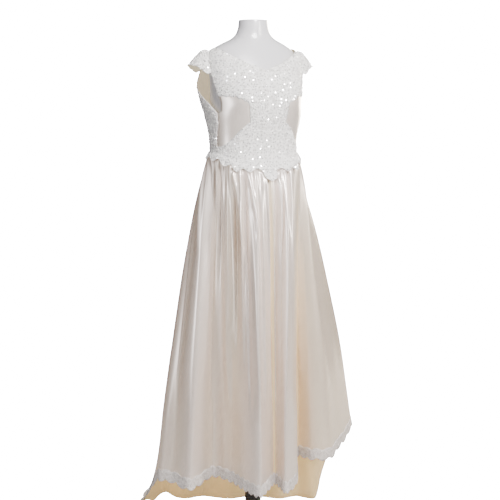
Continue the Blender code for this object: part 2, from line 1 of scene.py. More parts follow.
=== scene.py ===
import bpy
import bmesh
import math
import random
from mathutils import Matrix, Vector


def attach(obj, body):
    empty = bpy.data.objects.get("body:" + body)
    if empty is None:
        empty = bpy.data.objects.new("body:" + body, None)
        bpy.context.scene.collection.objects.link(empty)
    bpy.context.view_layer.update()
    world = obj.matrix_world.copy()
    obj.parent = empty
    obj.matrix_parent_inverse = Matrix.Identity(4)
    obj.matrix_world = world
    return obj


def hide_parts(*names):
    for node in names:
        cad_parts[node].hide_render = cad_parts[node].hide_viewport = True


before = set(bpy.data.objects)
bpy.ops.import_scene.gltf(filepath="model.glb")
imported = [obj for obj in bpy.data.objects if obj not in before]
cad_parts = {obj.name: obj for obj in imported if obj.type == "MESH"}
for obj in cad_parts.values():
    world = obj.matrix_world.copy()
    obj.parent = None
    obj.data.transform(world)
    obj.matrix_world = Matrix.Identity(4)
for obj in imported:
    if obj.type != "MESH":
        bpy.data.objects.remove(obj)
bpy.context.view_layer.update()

random.seed(7)

# ---- values that shape the whole dress
dress = {
    "satinThickness": 0.0009,
    "laceThickness": 0.0006,
    "sweep": 24.0,            # degrees the train is swept to the wearer's left
    "sectionPower": 2.25,
    "bustLift": 0.011,
    "bustAngle": 36.0,
    "bustHeight": 1.485,
    "princess": 0.40,
    "backPrincess": 0.45,
    "armholeStand": 0.027,    # how far the back of the armhole stands off the form
    "armholeAngle": 116.0,
    "armholeHeight": 1.55,
    "sideSeam": 78.0,
}

# outer bodice sections: height, half width, front depth, back depth
bodyTable = [
    (1.200, 0.185, 0.160, 0.150), (1.245, 0.172, 0.141, 0.130), (1.285, 0.158, 0.126, 0.114),
    (1.318, 0.1505, 0.117, 0.106), (1.360, 0.153, 0.119, 0.104), (1.400, 0.158, 0.126, 0.107),
    (1.450, 0.166, 0.134, 0.113), (1.490, 0.169, 0.136, 0.117), (1.540, 0.1715, 0.126, 0.119),
    (1.580, 0.174, 0.112, 0.117), (1.615, 0.174, 0.098, 0.110), (1.640, 0.168, 0.086, 0.099),
    (1.656, 0.157, 0.078, 0.089), (1.670, 0.140, 0.071, 0.080), (1.684, 0.112, 0.064, 0.070),
    (1.700, 0.078, 0.057, 0.060), (1.716, 0.061, 0.053, 0.054), (1.736, 0.053, 0.050, 0.050),
    (1.762, 0.0495, 0.047, 0.047),
]

# panel edges, from hem seam to shoulder: inner angle, inner height, outer angle, outer height
frontEdges = [
    (0.0, 1.2453, 77.88, 1.3183), (0.0, 1.3, 76.88, 1.345), (0.0, 1.36, 74.5, 1.38),
    (0.0, 1.43, 70.0, 1.42), (0.0, 1.482, 70.0, 1.445), (0.0, 1.536, 64.5, 1.456),
    (0.0, 1.588, 64.0, 1.484), (12.0, 1.6, 68.5, 1.515), (32.0, 1.613, 74.0, 1.552),
    (50.0, 1.631, 77.5, 1.588), (62.0, 1.644, 81.0, 1.62), (74.0, 1.658, 85.5, 1.643),
    (89.88, 1.668, 89.88, 1.655),
]
backEdges = [
    (179.88, 1.3183, 78.12, 1.3183), (179.88, 1.345, 77.12, 1.345), (179.88, 1.38, 74.74, 1.38),
    (179.88, 1.42, 70.24, 1.42), (179.88, 1.465, 70.24, 1.445), (179.88, 1.51, 80.0, 1.474),
    (179.88, 1.548, 97.0, 1.508), (168.0, 1.555, 110.0, 1.54), (152.0, 1.571, 115.0, 1.57),
    (135.0, 1.597, 114.0, 1.595), (120.0, 1.625, 108.0, 1.62), (104.0, 1.652, 98.0, 1.645),
    (90.12, 1.668, 90.12, 1.655),
]
basqueEdge = [
    (0.0, 1.226), (7.0, 1.236), (12.0, 1.262), (20.0, 1.266), (28.0, 1.256), (36.0, 1.268),
    (44.0, 1.258), (52.0, 1.281), (60.0, 1.274), (70.0, 1.298), (78.0, 1.290), (88.0, 1.303),
    (96.0, 1.293), (106.0, 1.304), (116.0, 1.293), (126.0, 1.304), (136.0, 1.292),
    (146.0, 1.304), (156.0, 1.292), (166.0, 1.304), (174.0, 1.293), (180.0, 1.290),
]
basqueTop = [
    (0.0, 1.392), (20.0, 1.396), (29.0, 1.418), (36.0, 1.404), (44.0, 1.388), (54.0, 1.362), (72.0, 1.338),
    (90.0, 1.342), (139.0, 1.342), (180.0, 1.342),
]

# folds round the hem: turn, hem across, hem away, hem height, knee across, knee away, knee height
foldTable = [
    (-88.0, -0.325, -0.145, 0.200, 0, 0, 0), (-79.0, -0.278, -0.165, 0.200, 0, 0, 0),
    (-68.0, -0.213, -0.224, 0.195, 0, 0, 0), (-51.0, -0.143, -0.115, 0.202, 0, 0, 0),
    (-36.0, -0.079, -0.155, 0.200, 0, 0, 0), (-18.0, -0.027, -0.243, 0.200, 0, 0, 0),
    (0.0, 0.023, -0.300, 0.198, 0, 0, 0), (12.0, 0.050, -0.240, 0.200, 0, 0, 0),
    (24.0, 0.073, -0.192, 0.205, 0, 0, 0), (36.0, 0.094, -0.226, 0.200, 0, 0, 0),
    (49.0, 0.112, -0.262, 0.198, 0, 0, 0), (64.0, 0.152, -0.155, 0.202, 0, 0, 0),
    (79.0, 0.158, 0.045, 0.220, 0, 0, 0), (94.0, 0.210, -0.025, 0.235, 0, 0, 0),
    (104.0, 0.275, -0.014, 0.235, 0, 0, 0), (112.0, 0.312, 0.100, 0.235, 0, 0, 0),
    (120.0, 0.347, 0.208, 0.235, 0, 0, 0), (130.0, 0.389, 0.388, 0.235, 0, 0, 0),
    (138.0, 0.385, 0.500, 0.170, 0.330, 0.370, 0.330), (145.0, 0.345, 0.600, 0.070, 0.278, 0.310, 0.190),
    (153.0, 0.275, 0.700, 0.0, 0.236, 0.178, 0.012), (162.0, 0.240, 0.860, 0.0, 0.170, 0.186, 0.012),
    (172.0, 0.120, 0.950, 0.0, 0.098, 0.162, 0.012), (182.0, -0.020, 0.990, 0.0, 0.010, 0.186, 0.012),
    (192.0, -0.160, 0.950, 0.0, -0.085, 0.162, 0.012), (202.0, -0.270, 0.860, 0.0, -0.175, 0.186, 0.012),
    (214.0, -0.345, 0.660, 0.0, -0.258, 0.164, 0.014), (228.0, -0.365, 0.440, 0.0, -0.318, 0.182, 0.030),
    (240.0, -0.415, 0.200, 0.0, -0.335, 0.130, 0.110), (252.0, -0.385, 0.050, 0.070, -0.322, 0.050, 0.250),
    (262.0, -0.345, -0.060, 0.160, 0, 0, 0),
]
flareTable = [
    (0.0, 0.0), (0.042, 0.09), (0.104, 0.21), (0.275, 0.43), (0.434, 0.58), (0.594, 0.72),
    (0.788, 0.87), (1.0, 1.0),
]
fallRows = [0.0, 0.03, 0.085, 0.165, 0.28, 0.42, 0.58, 0.75, 0.90, 1.0]
layRows = [0.20, 0.48, 0.76, 1.0]


def smoothAt(table, x, column):
    last = len(table) - 1
    if x <= table[0][0]:
        return table[0][column]
    if x >= table[last][0]:
        return table[last][column]
    i = 0
    while table[i + 1][0] < x:
        i += 1
    x0, x1 = table[i][0], table[i + 1][0]
    y0, y1 = table[i][column], table[i + 1][column]
    h = x1 - x0
    chord = (y1 - y0) / h
    m0 = m1 = chord
    if i > 0:
        before = (y0 - table[i - 1][column]) / (x0 - table[i - 1][0])
        m0 = 0.0 if before * chord <= 0 else 2 * before * chord / (before + chord)
    if i + 2 <= last:
        after = (table[i + 2][column] - y1) / (table[i + 2][0] - x1)
        m1 = 0.0 if after * chord <= 0 else 2 * after * chord / (after + chord)
    t = (x - x0) / h
    return ((1 + 2 * t) * (1 - t) ** 2 * y0 + t * (1 - t) ** 2 * h * m0
            + t * t * (3 - 2 * t) * y1 - t * t * (1 - t) * h * m1)


def bodySection(angle, height):
    half = smoothAt(bodyTable, height, 1)
    turn = math.radians(angle)
    deep = smoothAt(bodyTable, height, 2 if math.cos(turn) >= 0 else 3)
    p = dress["sectionPower"]
    radius = ((abs(math.sin(turn)) / half) ** p + (abs(math.cos(turn)) / deep) ** p) ** (-1 / p)
    for side in (-1, 1):
        u = (angle - side * dress["bustAngle"]) / 17
        v = (height - dress["bustHeight"]) / 0.042
        radius += dress["bustLift"] * math.exp(-u * u - v * v)
    u = (abs((angle + 180) % 360 - 180) - dress["armholeAngle"]) / 24
    v = (height - dress["armholeHeight"]) / (0.06 if height > dress["armholeHeight"] else 0.09)
    radius += dress["armholeStand"] * math.exp(-u * u - v * v)
    return Vector((radius * math.sin(turn), -radius * math.cos(turn), height))


def bodyNormal(angle, height):
    around = bodySection(angle + 0.5, height) - bodySection(angle - 0.5, height)
    up = bodySection(angle, height + 0.003) - bodySection(angle, height - 0.003)
    return around.cross(up).normalized()


def bodyPoint(angle, height, out=0.0):
    return bodySection(angle, height) + bodyNormal(angle, height) * out


edgeKeys = {}


def edgeAt(table, row):
    key = id(table)
    if key not in edgeKeys:
        edgeKeys[key] = [(k, *table[k]) for k in range(len(table))]
    return [smoothAt(edgeKeys[key], row, column) for column in (1, 2, 3, 4)]


def across(table, row, share):
    a0, h0, a1, h1 = edgeAt(table, row)
    return a0 + (a1 - a0) * share, h0 + (h1 - h0) * share


# ---- shader building
class Shade:
    def __init__(self, tree, socket):
        self.tree, self.socket = tree, socket

    def math(self, operation, other, flip=False):
        n = self.tree.nodes.new("ShaderNodeMath")
        n.operation = operation
        pair = (other, self) if flip else (self, other)
        for i, item in enumerate(pair):
            if isinstance(item, Shade):
                self.tree.links.new(item.socket, n.inputs[i])
            else:
                n.inputs[i].default_value = item
        return Shade(self.tree, n.outputs[0])

    def __add__(self, o): return self.math("ADD", o)
    def __radd__(self, o): return self.math("ADD", o, True)
    def __sub__(self, o): return self.math("SUBTRACT", o)
    def __rsub__(self, o): return self.math("SUBTRACT", o, True)
    def __mul__(self, o): return self.math("MULTIPLY", o)
    def __rmul__(self, o): return self.math("MULTIPLY", o, True)
    def __truediv__(self, o): return self.math("DIVIDE", o)
    def __rtruediv__(self, o): return self.math("DIVIDE", o, True)
    def __pow__(self, o): return self.math("POWER", o)
    def __rpow__(self, o): return self.math("POWER", o, True)


def shadeNode(tree, kind, settings=None, values=None, out=0):
    n = tree.nodes.new(kind)
    for name, value in (settings or {}).items():
        setattr(n, name, value)
    for name, value in (values or {}).items():
        socket = n.inputs[name]
        if isinstance(value, Shade):
            tree.links.new(value.socket, socket)
        else:
            socket.default_value = value
    return Shade(tree, n.outputs[out])


def newMaterial(name, values):
    mat = bpy.data.materials.new(name)
    mat.use_nodes = True
    tree = mat.node_tree
    principled = tree.nodes["Principled BSDF"]
    for key, value in values.items():
        principled.inputs[key].default_value = value
    return mat, tree, principled


def linkTo(tree, shade, node, name):
    tree.links.new(shade.socket, node.inputs[name])


def mixColour(tree, factor, first, second):
    n = tree.nodes.new("ShaderNodeMix")
    n.data_type = "RGBA"
    for index, value in ((0, factor), (6, first), (7, second)):
        if isinstance(value, Shade):
            tree.links.new(value.socket, n.inputs[index])
        else:
            n.inputs[index].default_value = value
    return Shade(tree, n.outputs[2])


satinLook = {
    "colour": (0.835, 0.762, 0.728, 1),
    "warm": (0.87, 0.735, 0.50, 1),      # painted glow: cream tint where folds turn inward and at the side, standing for light let through and bounced between the folds; also the colour of the real light let through
    # painted glow: gold colour of the skirt's inner faces, standing for light let through the satin
    "inside": (0.84, 0.69, 0.45, 1),
    "roughness": 0.31,
    "metallic": 0.50,
    "deepTone": 0.92,
    # painted glow: orange emission in the deepest fold recesses, a glow with no lamp behind it
    "foldGlow": (1.0, 0.70, 0.30, 1),
    "foldLit": 0.30,
    "throughLight": 0.12,
}


def satinMaterial(name, colour, warm, through, metallic, paintedGlowStrength=0.0):
    mat, tree, principled = newMaterial(name, {"Metallic": metallic, "Specular IOR Level": 0.62,
                                               "Emission Color": warm, "Emission Strength": paintedGlowStrength,
                                               "Sheen Weight": 0.06, "Sheen Roughness": 0.35})
    spot = shadeNode(tree, "ShaderNodeTexCoord", out=3)
    drift = shadeNode(tree, "ShaderNodeTexNoise", {}, {"Vector": spot, "Scale": 3.0, "Detail": 2.0})
    # painted glow: the fold attribute read here sets where the cream tint is mixed into the base colour
    warmth = shadeNode(tree, "ShaderNodeAttribute", {"attribute_name": "paintedFoldGlow"}, out=2)
    tint = (warmth * (0.75 + drift * 0.5)).math("MINIMUM", 1.0)
    weave = shadeNode(tree, "ShaderNodeTexNoise", {}, {"Vector": spot, "Scale": 420.0, "Detail": 1.0})
    slub = shadeNode(tree, "ShaderNodeTexNoise", {}, {"Vector": spot, "Scale": 30.0, "Detail": 2.0})
    deep = shadeNode(tree, "ShaderNodeHueSaturation", {}, {"Color": mixColour(tree, tint, colour, warm),
                                                           "Value": satinLook["deepTone"]})
    thread = slub * 0.5 + weave * 0.5
    linkTo(tree, mixColour(tree, thread, deep, mixColour(tree, tint, colour, warm)), principled, "Base Color")
    linkTo(tree, drift * 0.08 + (satinLook["roughness"] - 0.04), principled, "Roughness")
    # painted glow: inside materials emit the cream colour at a set strength; the outer satin emits orange only in the
    # deepest folds
    if paintedGlowStrength == 0:
        deepFold = ((warmth - 0.5) * 2.2).math("MAXIMUM", 0.0).math("MINIMUM", 1.0)
        linkTo(tree, mixColour(tree, deepFold, (0, 0, 0, 1), satinLook["foldGlow"]), principled, "Emission Color")
        principled.inputs["Emission Strength"].default_value = satinLook["foldLit"]
    glow = shadeNode(tree, "ShaderNodeBsdfTranslucent", {}, {"Color": warm})
    mixer = tree.nodes.new("ShaderNodeMixShader")
    mixer.inputs[0].default_value = through
    tree.links.new(principled.outputs[0], mixer.inputs[1])
    tree.links.new(glow.socket, mixer.inputs[2])
    tree.links.new(mixer.outputs[0], tree.nodes["Material Output"].inputs[0])
    return mat


satin = satinMaterial("ivorySatin", satinLook["colour"], satinLook["warm"], satinLook["throughLight"],
                      satinLook["metallic"])
# painted glow: inner faces coloured gold (skirt) and light cream (bodice) and given a weak emission, standing for light
# let through the cloth
satinInside = satinMaterial("satinInside", satinLook["inside"], (1.0, 0.80, 0.42, 1), 0.40, 0.0, 0.55)
bodiceLining = satinMaterial("bodiceLining", (0.95, 0.89, 0.74, 1), (0.97, 0.89, 0.68, 1), 0.50, 0.0, 0.70)

laceLook = {
    "cord": (0.86, 0.845, 0.83, 1),
    # ground colours: the net's own grey plus painted shade in the gaps between the cords
    "ground": (0.52, 0.50, 0.505, 1),
    "sleeveGround": (0.42, 0.40, 0.40, 1),
    # hem lace darker and more mauve than the bodice lace: partly its own tone, partly painted shade for the dimmer
    # light at the hem
    "hemGround": (0.47, 0.425, 0.40, 1),
    "hemThread": (0.74, 0.685, 0.655, 1),
    "motifScale": 62.0,
    "netScale": 300.0,
    "roughness": 0.62,
}


def laceMaterial(name, ground, thread=laceLook["cord"]):
    mat, tree, principled = newMaterial(name, {"Roughness": laceLook["roughness"]})
    spot = shadeNode(tree, "ShaderNodeTexCoord", out=3)
    warp = shadeNode(tree, "ShaderNodeTexNoise", {}, {"Vector": spot, "Scale": 30.0, "Detail": 2.0}, out=1)
    moved = shadeNode(tree, "ShaderNodeVectorMath", {"operation": "MULTIPLY_ADD"}, {0: warp, 1: (0.03,) * 3, 2: spot})
    petals = shadeNode(tree, "ShaderNodeTexVoronoi", {"feature": "DISTANCE_TO_EDGE"},
                       {"Vector": moved, "Scale": laceLook["motifScale"]})
    net = shadeNode(tree, "ShaderNodeTexVoronoi", {"feature": "DISTANCE_TO_EDGE"},
                    {"Vector": spot, "Scale": laceLook["netScale"]})
    cords = 1.0 - (petals * 7.0).math("MINIMUM", 1.0)
    threads = 1.0 - (net * 6.0).math("MINIMUM", 1.0)
    height = cords * 0.7 + threads * 0.5
    # painted shade: the lower the relief, the closer the colour goes to the darker ground, so the gaps between cords
    # read as shade
    tone = (height * 0.95 + 0.16).math("MINIMUM", 1.0)
    linkTo(tree, mixColour(tree, tone, ground, thread), principled, "Base Color")
    bump = shadeNode(tree, "ShaderNodeBump", {}, {"Height": height, "Strength": 0.7, "Distance": 0.0015})
    linkTo(tree, bump, principled, "Normal")
    return mat


lace = laceMaterial("cordedLace", laceLook["ground"])
hemLaceMat = laceMaterial("hemLace", laceLook["hemGround"], laceLook["hemThread"])
sleeveLaceMat = laceMaterial("sleeveLace", laceLook["sleeveGround"])
# hem cords darker than the bodice cords: partly their own tone, partly painted shade for the dimmer light at the hem
hemCordMat, _, _ = newMaterial("hemCord", {"Base Color": (0.72, 0.675, 0.65, 1), "Roughness": 0.5})
cordMat, _, _ = newMaterial("laceCord", {"Base Color": (0.87, 0.855, 0.84, 1), "Roughness": 0.45})
pearlMat, _, _ = newMaterial("pearls", {"Base Color": (0.90, 0.88, 0.85, 1), "Roughness": 0.12, "Coat Weight": 0.6})
sequinMat, _, _ = newMaterial("sequins", {"Base Color": (0.93, 0.92, 0.95, 1), "Roughness": 0.1, "Metallic": 0.85})
formMat, _, _ = newMaterial("formGloss", {"Base Color": (0.52, 0.51, 0.535, 1), "Roughness": 0.28,
                                          "Coat Weight": 0.35, "Coat Roughness": 0.12})
poleMat, _, _ = newMaterial("standMetal", {"Base Color": (0.05, 0.048, 0.05, 1), "Roughness": 0.42, "Metallic": 0.4})


# ---- sheets: a grid whose points are placed on the cloth's form, then given its thickness
def makeSheet(name, rows, columns, place, thickness, mats, closed=False, outward=True, insideSlot=0):
    bpy.ops.mesh.primitive_grid_add(x_subdivisions=columns - 1, y_subdivisions=rows - 1, size=1)
    piece = bpy.context.active_object
    piece.name = name
    mesh = piece.data
    for r in range(rows):
        for c in range(columns):
            mesh.vertices[r * columns + c].co = place(r / (rows - 1), c / (columns - 1))
    if closed:
        weld(piece, 0.00008)
    if not outward:
        mesh.flip_normals()
    for mat in mats:
        mesh.materials.append(mat)
    finishCloth(piece, thickness, insideSlot)
    return piece


def weld(piece, distance):
    work = bmesh.new()
    work.from_mesh(piece.data)
    bmesh.ops.remove_doubles(work, verts=work.verts, dist=distance)
    work.to_mesh(piece.data)
    work.free()


def finishCloth(piece, thickness, insideSlot=0):
    if thickness > 0:
        mod = piece.modifiers.new("wall", "SOLIDIFY")
        mod.thickness = thickness
        mod.offset = -1
        mod.material_offset = insideSlot
        bpy.context.view_layer.objects.active = piece
        bpy.ops.object.modifier_apply(modifier=mod.name)
    for face in piece.data.polygons:
        face.use_smooth = True


def clothArea(piece):
    return sum(f.area for f in piece.data.polygons) / 2


def addPiece(piece, nodes):
    if nodes:
        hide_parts(*nodes)
    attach(piece, "root")


# ---- bodice
bodice = {"rows": 45, "shares": 16, "seamGap": 0.0002}
print("stage: bodice")


def panelPlace(table, low, high, side, lift, startRow=None):
    def place(v, u):
        share = low + (high - low) * u
        base = 0.0 if startRow is None else startRow(u)
        row = base + (12 - base) * v
        angle, height = across(table, row, share)
        point = bodyPoint(angle, height, lift)
        return (side * point.x, point.y, point.z)
    return place


def centreSheet(name, lift, startRow, thickness, mats):
    halves = []
    for side in (1, -1):
        place = panelPlace(frontEdges, 0.0, dress["princess"] - 0.0015, side, lift, startRow)
        bpy.ops.mesh.primitive_grid_add(x_subdivisions=12, y_subdivisions=bodice["rows"] - 1, size=1)
        half = bpy.context.active_object
        for r in range(bodice["rows"]):
            for c in range(13):
                half.data.vertices[r * 13 + c].co = place(r / (bodice["rows"] - 1), c / 12)
        if side < 0:
            half.data.flip_normals()
        halves.append(half)
    bpy.ops.object.select_all(action="DESELECT")
    for half in halves:
        half.select_set(True)
    bpy.context.view_layer.objects.active = halves[0]
    bpy.ops.object.join()
    piece = bpy.context.active_object
    piece.name = name
    weld(piece, 0.00008)
    for mat in mats:
        piece.data.materials.append(mat)
    finishCloth(piece, thickness, 1 if len(mats) > 1 else 0)
    return piece


bodicePieces = {}
front = centreSheet("bodiceFrontCentre", 0.0, None, dress["satinThickness"], [satin, bodiceLining])
addPiece(front, ["bodice_front_centre"])
bodicePieces["bodiceFrontCentre"] = front
panels = [
    ("bodiceSideFront", "bodice_side_front_", frontEdges, dress["princess"] + 0.0015, 1.0, True),
    ("bodiceSideBack", "bodice_side_back_", backEdges, dress["backPrincess"] + 0.0015, 1.0, False),
    ("bodiceBack", "bodice_back_", backEdges, 0.0, dress["backPrincess"] - 0.0015, False),
]
for title, node, table, low, high, isFront in panels:
    for side, word in ((1, "left"), (-1, "right")):
        place = panelPlace(table, low, high, side, 0.0)
        piece = makeSheet(title + word.title(), bodice["rows"], bodice["shares"], place, dress["satinThickness"],
                          [satin, bodiceLining], outward=(side > 0) == isFront, insideSlot=1)
        addPiece(piece, [node + word])
        bodicePieces[piece.name] = piece

# ---- skirt
skirt = {
    "gathers": 30, "gatherDepth": 0.0068, "fineGather": 0.0014, "creaseScale": 1.4, "creaseWiden": 1.2,
    "kneeShare": 0.80, "kneeLowest": 0.010, "foldPower": 1.15, "sideFoldTurn": 79.0, "sideFoldPower": 2.4,
    "rippleHeight": 0.016, "columnStep": 0.75, "rowsEach": 5,
}
sweepTurn = math.radians(dress["sweep"])
acrossWay = Vector((math.cos(sweepTurn), -math.sin(sweepTurn), 0))
awayWay = Vector((math.sin(sweepTurn), math.cos(sweepTurn), 0))

# soft creases: turn at the top, turn at the foot, first share, last share, width in degrees, depth
creaseTable = [
    (-56, -58, 0.03, 0.75, 4.5, -0.0110), (-20, -18, 0.12, 1.0, 6.0, -0.0120), (-33, -34, 0.03, 0.52, 2.6, 0.0120),
    (-46, -56, 0.18, 1.0, 5.0, 0.0110), (2, 3, 0.20, 1.0, 3.6, 0.0110), (46, 50, 0.03, 0.55, 4.2, 0.0110),
    (62, 64, 0.10, 1.0, 4.0, -0.0090), (-86, -84, 0.10, 0.95, 2.4, -0.0080), (-76, -72, 0.02, 0.36, 2.0, 0.0090), (-73, -76, 0.25, 1.0, 3.2, 0.0080),
    (-64, -61, 0.06, 0.62, 2.2, -0.0080), (-57, -62, 0.30, 1.0, 3.0, 0.0070), (-50, -46, 0.02, 0.30, 1.8, 0.0110),
    (-46, -44, 0.05, 0.42, 2.0, -0.0095), (-41, -34, 0.10, 0.95, 2.6, 0.0085), (-34, -31, 0.03, 0.50, 1.8, -0.0080),
    (-31, -14, 0.02, 0.38, 2.2, 0.0120), (-24, -27, 0.10, 0.55, 2.0, -0.0090), (-17, -19, 0.02, 0.58, 1.6, 0.0130),
    (-12, -9, 0.05, 0.75, 2.0, -0.0100), (-9, 3, 0.03, 0.30, 2.0, 0.0110), (-4, 2, 0.15, 1.0, 2.4, 0.0095),
    (4, 7, 0.04, 0.50, 1.6, -0.0080), (9, 12, 0.05, 0.90, 2.0, 0.0080), (17, 20, 0.03, 0.45, 1.5, 0.0090),
    (21, 22, 0.05, 0.80, 1.4, -0.0060), (31, 29, 0.06, 0.80, 1.6, -0.0070), (35, 40, 0.03, 0.34, 2.2, 0.0110),
    (42, 44, 0.10, 0.60, 2.0, -0.0080), (47, 51, 0.20, 1.0, 2.2, 0.0070), (55, 58, 0.02, 0.30, 2.0, -0.0090),
    (60, 63, 0.05, 0.60, 1.8, 0.0080), (70, 67, 0.06, 0.40, 1.8, -0.0060), (88, 85, 0.10, 0.90, 2.8, -0.0070),
    (94, 99, 0.02, 0.45, 2.4, 0.0090), (101, 106, 0.25, 1.0, 3.0, 0.0080), (108, 112, 0.05, 0.80, 2.6, -0.0085),
    (116, 120, 0.30, 1.0, 3.0, 0.0075), (125, 123, 0.06, 0.70, 2.6, -0.0085), (134, 131, 0.15, 0.90, 2.8, 0.0075),
    (142, 144, 0.03, 0.60, 2.2, -0.0080), (149, 152, 0.10, 0.95, 2.4, 0.0075), (157, 155, 0.03, 0.50, 2.0, -0.0085),
    (166, 168, 0.05, 0.75, 2.4, 0.0085), (171, 178, 0.02, 0.33, 2.2, 0.0100), (176, 174, 0.04, 0.60, 2.0, -0.0080),
    (186, 184, 0.08, 0.80, 2.6, 0.0085), (197, 195, 0.03, 0.55, 2.2, -0.0090), (203, 211, 0.02, 0.40, 2.2, 0.0100),
    (213, 208, 0.10, 0.70, 2.4, 0.0080), (219, 221, 0.05, 0.65, 2.2, -0.0085), (231, 227, 0.10, 0.85, 2.8, 0.0085),
    (238, 246, 0.02, 0.38, 2.2, 0.0100), (247, 250, 0.05, 0.60, 2.4, -0.0085), (258, 255, 0.10, 0.80, 2.8, 0.0085),
    (266, 263, 0.03, 0.55, 2.2, -0.0080),
]
# painted glow: places tinted cream where folds turn inward and at the side: turn, width in degrees, strength
paintedGlowTable = [
    (-79, 5, 0.20), (-52, 7, 0.22), (-30, 11, 0.34), (24, 3.2, 1.0), (12, 4, 0.10), (64, 4, 0.15), (78, 7, 0.75),
    (96, 12, 0.36), (118, 14, 0.30), (140, 12, 0.42), (160, 5, 0.40), (172, 6, 0.25), (192, 7, 0.35), (214, 8, 0.35),
    (240, 12, 0.30), (262, 9, 0.25),
]


def seamHeight(angle):
    turn = abs((angle + 180) % 360 - 180)
    return 1.318 if turn >= dress["sideSeam"] else 1.245 + (1.318 - 1.245) * turn / dress["sideSeam"]


def placeAt(a, b, height):
    return acrossWay * a + awayWay * b + Vector((0, 0, height))


def loopValue(points, x):
    n = len(points)
    first = points[0][0]
    x = first + (x - first) % 360
    i = n - 1
    for k in range(n - 1):
        if points[k][0] <= x < points[k + 1][0]:
            i = k
            break
    k0 = points[i][0]
    k1 = points[i + 1][0] if i + 1 < n else first + 360
    p0, p1 = points[i][1], points[(i + 1) % n][1]
    before, after = points[(i - 1) % n][1], points[(i + 2) % n][1]
    kb = points[i - 1][0] if i > 0 else points[-1][0] - 360
    ka = points[(i + 2) % n][0] + (360 if i + 2 >= n else 0)
    t = (x - k0) / (k1 - k0)
    m0 = (p1 - before) * ((k1 - k0) / (k1 - kb))
    m1 = (after - p0) * ((k1 - k0) / (ka - k0))
    return (p0 * ((1 + 2 * t) * (1 - t) ** 2) + m0 * (t * (1 - t) ** 2)
            + p1 * (t * t * (3 - 2 * t)) - m1 * (t * t * (1 - t)))


def flare(share):
    return smoothAt(flareTable, share, 1)


hemPoints, kneePoints = [], []
for turn, ha, hb, hz, ka, kb, kz in foldTable:
    angle = turn - dress["sweep"]
    waist = bodyPoint(angle, seamHeight(angle))
    hem = placeAt(ha, hb, hz)
    if kz == 0:
        knee = waist.lerp(hem, flare(skirt["kneeShare"]))
        knee.z = waist.z + (hem.z - waist.z) * skirt["kneeShare"]
    else:
        knee = placeAt(ka, kb, kz)
    hemPoints.append((turn, hem))
    kneePoints.append((turn, knee))


def averaged(points, x, spread):
    total, weight = Vector((0, 0, 0)), 0.0
    for k in range(-6, 7):
        w = math.exp(-(k / 3.2) ** 2)
        total += loopValue(points, x + k * spread / 6) * w
        weight += w
    return total / weight


def skirtColumn(x):
    wall = 0.0016
    angle = x - dress["sweep"]
    top = seamHeight(angle) - 0.0004
    waist = bodyPoint(angle, top)
    out = bodyNormal(angle, top)
    out.z = 0
    out.normalize()
    knee = loopValue(kneePoints, x)
    knee.z = max(knee.z, skirt["kneeLowest"])
    calm = averaged(kneePoints, x, 30)
    hem = loopValue(hemPoints, x)
    hem.z = max(hem.z, 0.0)
    wave = 0.5 + 0.5 * math.sin(math.radians(x * skirt["gathers"] + 20 * math.sin(math.radians(x * 3))))
    deep = skirt["gatherDepth"] * (1 + 0.5 * math.sin(math.radians(x * 5 + 40)) + 0.3 * math.sin(math.radians(x * 11)))
    power = skirt["foldPower"] + ((skirt["sideFoldPower"] - skirt["foldPower"])
                                  * math.exp(-((x - skirt["sideFoldTurn"]) / 15) ** 2))
    column = []
    for share in fallRows:
        spread = flare(share * skirt["kneeShare"]) / flare(skirt["kneeShare"])
        point = waist + (calm - waist) * spread + (knee - calm) * spread ** power
        ease = min(1.0, share / 0.03) * max(0.0, 1 - share / 0.8) ** 1.6
        column.append(Vector((point.x, point.y, waist.z + (knee.z - waist.z) * share)) + out * (deep * wave * ease))
    onFloor = max(0.0, 1 - hem.z / 0.05)
    ripple = max(0.0, math.sin(math.radians(x * 18))) * skirt["rippleHeight"] * onFloor
    for share in layRows:
        point = knee.lerp(hem, share)
        straight = knee.z + (hem.z - knee.z) * share
        floor = wall + ripple * (1 - share) ** 0.7 + knee.z * max(0.0, 1 - share / 0.45) ** 2
        point.z = max(straight * (1 - onFloor) + floor * onFloor, wall)
        column.append(point)
    return column, out


def throughPoints(points, each):
    line = []
    last = len(points) - 1
    for i in range(last):
        p0, p1 = points[i], points[i + 1]
        before, after = points[max(i - 1, 0)], points[min(i + 2, last)]
        size = max((p1 - p0).length, 1e-6)
        m0 = (p1 - before) * (size / max((p1 - p0).length + (p0 - before).length, 1e-6))
        m1 = (after - p0) * (size / max((p1 - p0).length + (after - p1).length, 1e-6))
        for k in range(each):
            t = k / each
            line.append(p0 * ((1 + 2 * t) * (1 - t) ** 2) + m0 * (t * (1 - t) ** 2)
                        + p1 * (t * t * (3 - 2 * t)) - m1 * (t * t * (1 - t)))
    line.append(points[last].copy())
    return line


def creaseDepth(x, v):
    depth = 0.0
    for top, foot, first, last, width, size in creaseTable:
        if v < first or v > last:
            continue
        along = (v - first) / (last - first)
        away = abs((x - top - (foot - top) * along + 180) % 360 - 180) / skirt["creaseWiden"]
        if away > width * 3:
            continue
        window = math.sin(math.pi * min(1.0, along * (1.0 if last < 1 else 0.5))) ** 0.8
        depth += size * window * math.exp(-(away / width) ** 2)
    return depth * skirt["creaseScale"]


# painted glow: sums the listed cream places round the skirt, fainter towards the waist
def paintedGlowAt(x, v):
    total = 0.0
    for turn, width, strength in paintedGlowTable:
        away = abs((x - turn + 180) % 360 - 180)
        total += strength * math.exp(-(away / width) ** 2)
    return min(1.0, total * min(1.0, 0.25 + v * 2.2))


